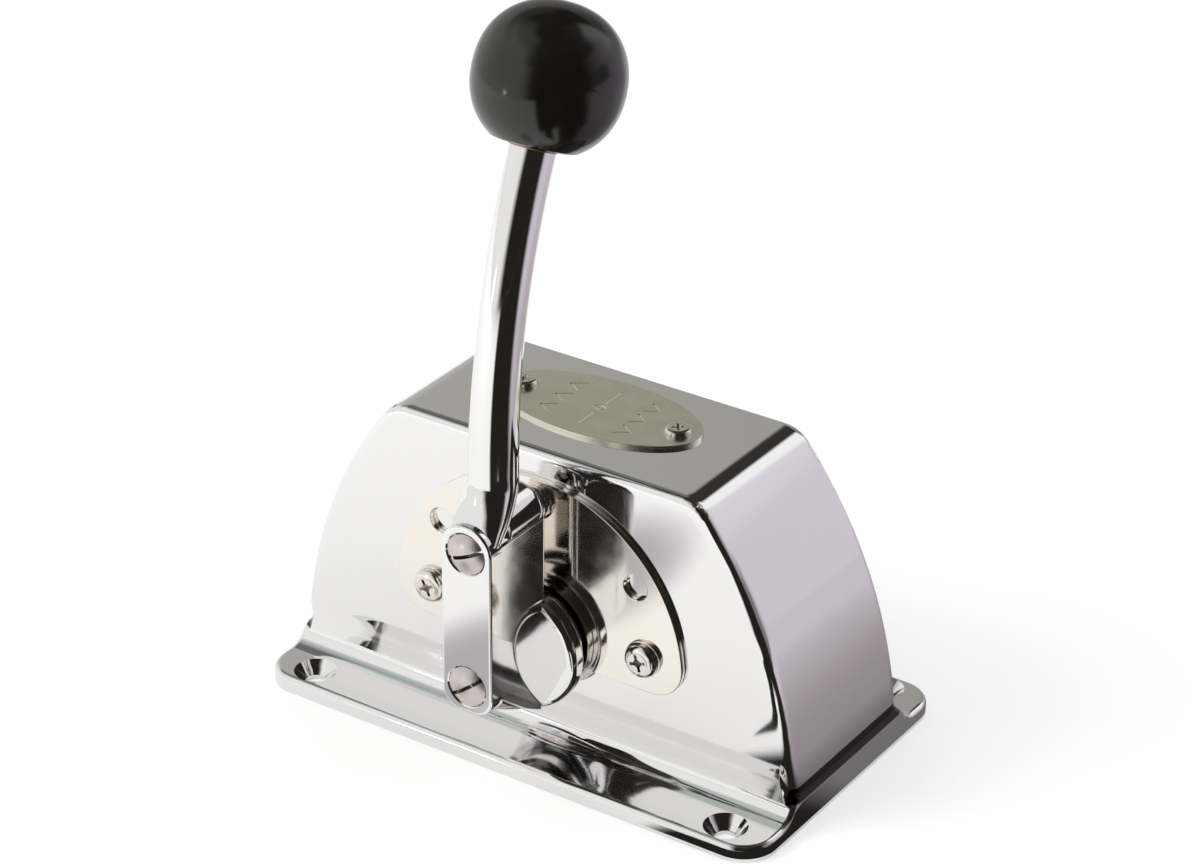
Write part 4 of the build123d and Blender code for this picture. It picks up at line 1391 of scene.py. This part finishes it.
    def shadow_pool(self, graph: Graph, x: Socket, y: Socket) -> Socket:
        """A painted soft grey shadow on the table, just ahead, that darkens the lower end of the
        lever in its mirror.
        """
        squares = []
        for place, middle, size in zip((x, y), self.pool_middle, self.pool_size):
            off = graph.add("Math", place, middle, operation="SUBTRACT")
            off = graph.add("Math", off, size, operation="DIVIDE")
            off = graph.add("Math", off, operation="ABSOLUTE")
            squares.append(graph.add("Math", off, 2.0, operation="POWER"))
        reach = graph.add("Math", *squares, operation="ADD")
        return graph.add(
            "MapRange", reach, self.pool_edge, self.pool_core, interpolation_type="SMOOTHSTEP"
        )

    def reach(self, graph: Graph, x: Socket, y: Socket) -> Socket:
        """How far a point of the table lies outside the object's foot, as a share."""
        sides = []
        for place, half in ((x, self.half_length), (y, self.half_depth)):
            off = graph.add("Math", place, operation="ABSOLUTE")
            sides.append(graph.add("Math", off, half, operation="SUBTRACT"))
        outside = graph.add("Math", *sides, operation="MAXIMUM")
        return graph.add("Math", outside, self.reach_limit, operation="DIVIDE")

    def build_table(self) -> None:
        """The table card, painted with shadow and dark reflections, open at the left so that the
        bare floor mirrors there.
        """
        Bench.clear()
        bpy.ops.mesh.primitive_circle_add(
            vertices=96, radius=self.radius, fill_type="NGON", location=(0, 0, self.table_z)
        )
        graph = self.cloth(Bench.named("tent_table"))
        x, y, _ = graph.place()
        turn = self.bearing(graph, x, y)
        reach = self.reach(graph, x, y)
        stops = [(where, srgb(code)) for where, code in self.table_tones]
        tone = graph.add("ValToRGB", reach, stops=stops)
        ends = {
            "Factor": graph.add(
                "MapRange", reach, self.near_until, self.far_from,
                interpolation_type="SMOOTHSTEP",
            ),
            "A": self.around(graph, turn, self.table_dark_near),
            "B": self.around(graph, turn, self.table_dark_far),
        }
        dark = graph.add("Mix", inputs=ends, out="Result", data_type="RGBA")
        dark = graph.add("Math", dark, self.strip(graph, x, y), operation="MAXIMUM")
        shadow_pool = self.shadow_pool(graph, x, y)
        # The painted shadow and the dark cards go over the table's tones.
        for cover, code in ((shadow_pool, self.shadow_pool_tone), (dark, self.dark)):
            ends = {"Factor": cover, "A": tone, "B": srgb(code)}
            tone = graph.add("Mix", inputs=ends, out="Result", data_type="RGBA")
        right = self.around(graph, turn, self.table_right)
        cover = graph.add("Math", dark, right, operation="MAXIMUM")
        cover = graph.add("Math", shadow_pool, cover, operation="MAXIMUM")
        bare = graph.add("BsdfTransparent")
        lit = graph.add("Emission", tone)
        graph.add("OutputMaterial", graph.add("MixShader", cover, bare, lit))

    def build_dome(self) -> None:
        """The wall and roof cards, which paint reflections, one band of tones over another."""
        Bench.clear()
        bpy.ops.mesh.primitive_uv_sphere_add(segments=64, ring_count=32, radius=self.radius)
        dome = Bench.named("tent_dome")
        Bench.edit(dome, "VERT", everything=True)
        bpy.ops.mesh.bisect(plane_co=(0, 0, self.dome_z), plane_no=(0, 0, 1), clear_inner=True)
        Bench.clear()
        graph = self.cloth(dome)
        x, y, z = graph.place()
        turn = self.bearing(graph, x, y)
        height = graph.add("Math", z, self.radius, operation="DIVIDE")
        lift = graph.add("Math", height, operation="ARCSINE")
        colour = self.around(graph, turn, self.bands[0].tones)
        for band in self.bands[1:]:
            limits = math.radians(band.fade_from), math.radians(band.fade_to)
            ends = {
                "Factor": graph.add("MapRange", lift, *limits, interpolation_type="SMOOTHSTEP"),
                "A": colour,
                "B": self.around(graph, turn, band.tones),
            }
            colour = graph.add("Mix", inputs=ends, out="Result", data_type="RGBA")
        graph.add("OutputMaterial", graph.add("Emission", colour))


@dataclass
class Studio:
    """Floor, air, lamps, reflection tent and camera.

    The camera's place and lens are in millimetres, and its turns in degrees.
    """

    lamps: tuple[Lamp, ...] = (
        Lamp("key_lamp", (-1.15, -1.2, 1.5), 1.1, 27.0),
        Lamp("fill_lamp", (1.2, 0.6, 1.7), 1.2, 9.0),
        Lamp("spark_lamp", (-1.0, -1.75, 0.12), 0.08, 0.4, True),
    )
    mirrored_glow: float = 0.26
    shown_glow: float = 0.56
    soft_light: float = 0.55
    white_light: float = 1.0
    camera_place: Triple = (559.04, -839.47, 638.15)
    camera_turn: float = 33.664
    camera_lift: float = 28.239
    camera_roll: float = 0.453
    camera_lens: float = 109.73

    @staticmethod
    def seen(graph: Graph) -> Socket:
        """One for rays from the camera, from mirrors and through glass, and else zero."""
        path = graph.add("LightPath").node.outputs
        seen = graph.add(
            "Math", path["Is Camera Ray"], path["Is Glossy Ray"], operation="MAXIMUM"
        )
        return graph.add("Math", seen, path["Is Transmission Ray"], operation="MAXIMUM")

    @staticmethod
    def layer(graph: Graph, colour: str, glow: float) -> Socket:
        """Paint that holds a shadow, with an even glow added to it."""
        paint = graph.add("BsdfDiffuse", srgb(colour))
        light = graph.add("Emission", inputs={"Strength": glow})
        return graph.add("AddShader", paint, light)

    def floor(self) -> None:
        """A plain pale floor that shows white and keeps the object's shadow."""
        Bench.clear()
        bpy.ops.mesh.primitive_plane_add(size=8.0)
        floor = Bench.named("studio_floor")
        made, graph = Graph.of_material("pale_floor")
        paint = graph.add("BsdfDiffuse", srgb("#E4E4E2"))
        shown = graph.add(
            "MixShader", graph.add("LightPath", out="Is Camera Ray"),
            self.layer(graph, "#DEDEDD", self.mirrored_glow),
            self.layer(graph, "#BCBCBB", self.shown_glow),
        )
        graph.add("OutputMaterial", graph.add("MixShader", self.seen(graph), paint, shown))
        floor.data.materials.append(made)

    def air(self) -> None:
        """A white backdrop for what is seen and mirrored, and even soft light for the rest."""
        world = bpy.data.worlds.new("studio_air")
        bpy.context.scene.world = world
        world.use_nodes = True
        graph = Graph(world.node_tree)
        soft, white = (
            graph.add("Background", srgb("#FFFFFF"), power)
            for power in (self.soft_light, self.white_light)
        )
        graph.add("OutputWorld", graph.add("MixShader", self.seen(graph), soft, white))

    def camera(self) -> None:
        """The camera, right of the front and above, rolled by half a degree."""
        data = bpy.data.cameras.new("camera")
        data.lens = self.camera_lens
        data.sensor_width = 36.0
        data.clip_start = 0.01
        data.clip_end = 50.0
        camera = bpy.data.objects.new("camera", data)
        bpy.context.scene.collection.objects.link(camera)
        camera.matrix_world = (
            Matrix.Translation(mm(*self.camera_place))
            @ Matrix.Rotation(math.radians(self.camera_turn), 4, "Z")
            @ spot(0, 0, 0, 90 - self.camera_lift, self.camera_roll)
        )
        bpy.context.scene.camera = camera

    def build(self) -> None:
        """Set up the whole studio."""
        bpy.context.scene.view_settings.view_transform = "Standard"
        self.floor()
        self.air()
        for lamp in self.lamps:
            lamp.build()
        tent = ReflectionTent()
        tent.build_table()
        tent.build_dome()
        self.camera()


def main() -> None:
    """Build the studio and every sub-assembly in order."""
    logging.basicConfig(level=logging.INFO, format="%(message)s")
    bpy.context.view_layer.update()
    for part in (Studio, Housing, LegendPlate, QuadrantPlate, Lever, Knob, Mechanism):
        part().build()


if __name__ == "__main__":
    main()
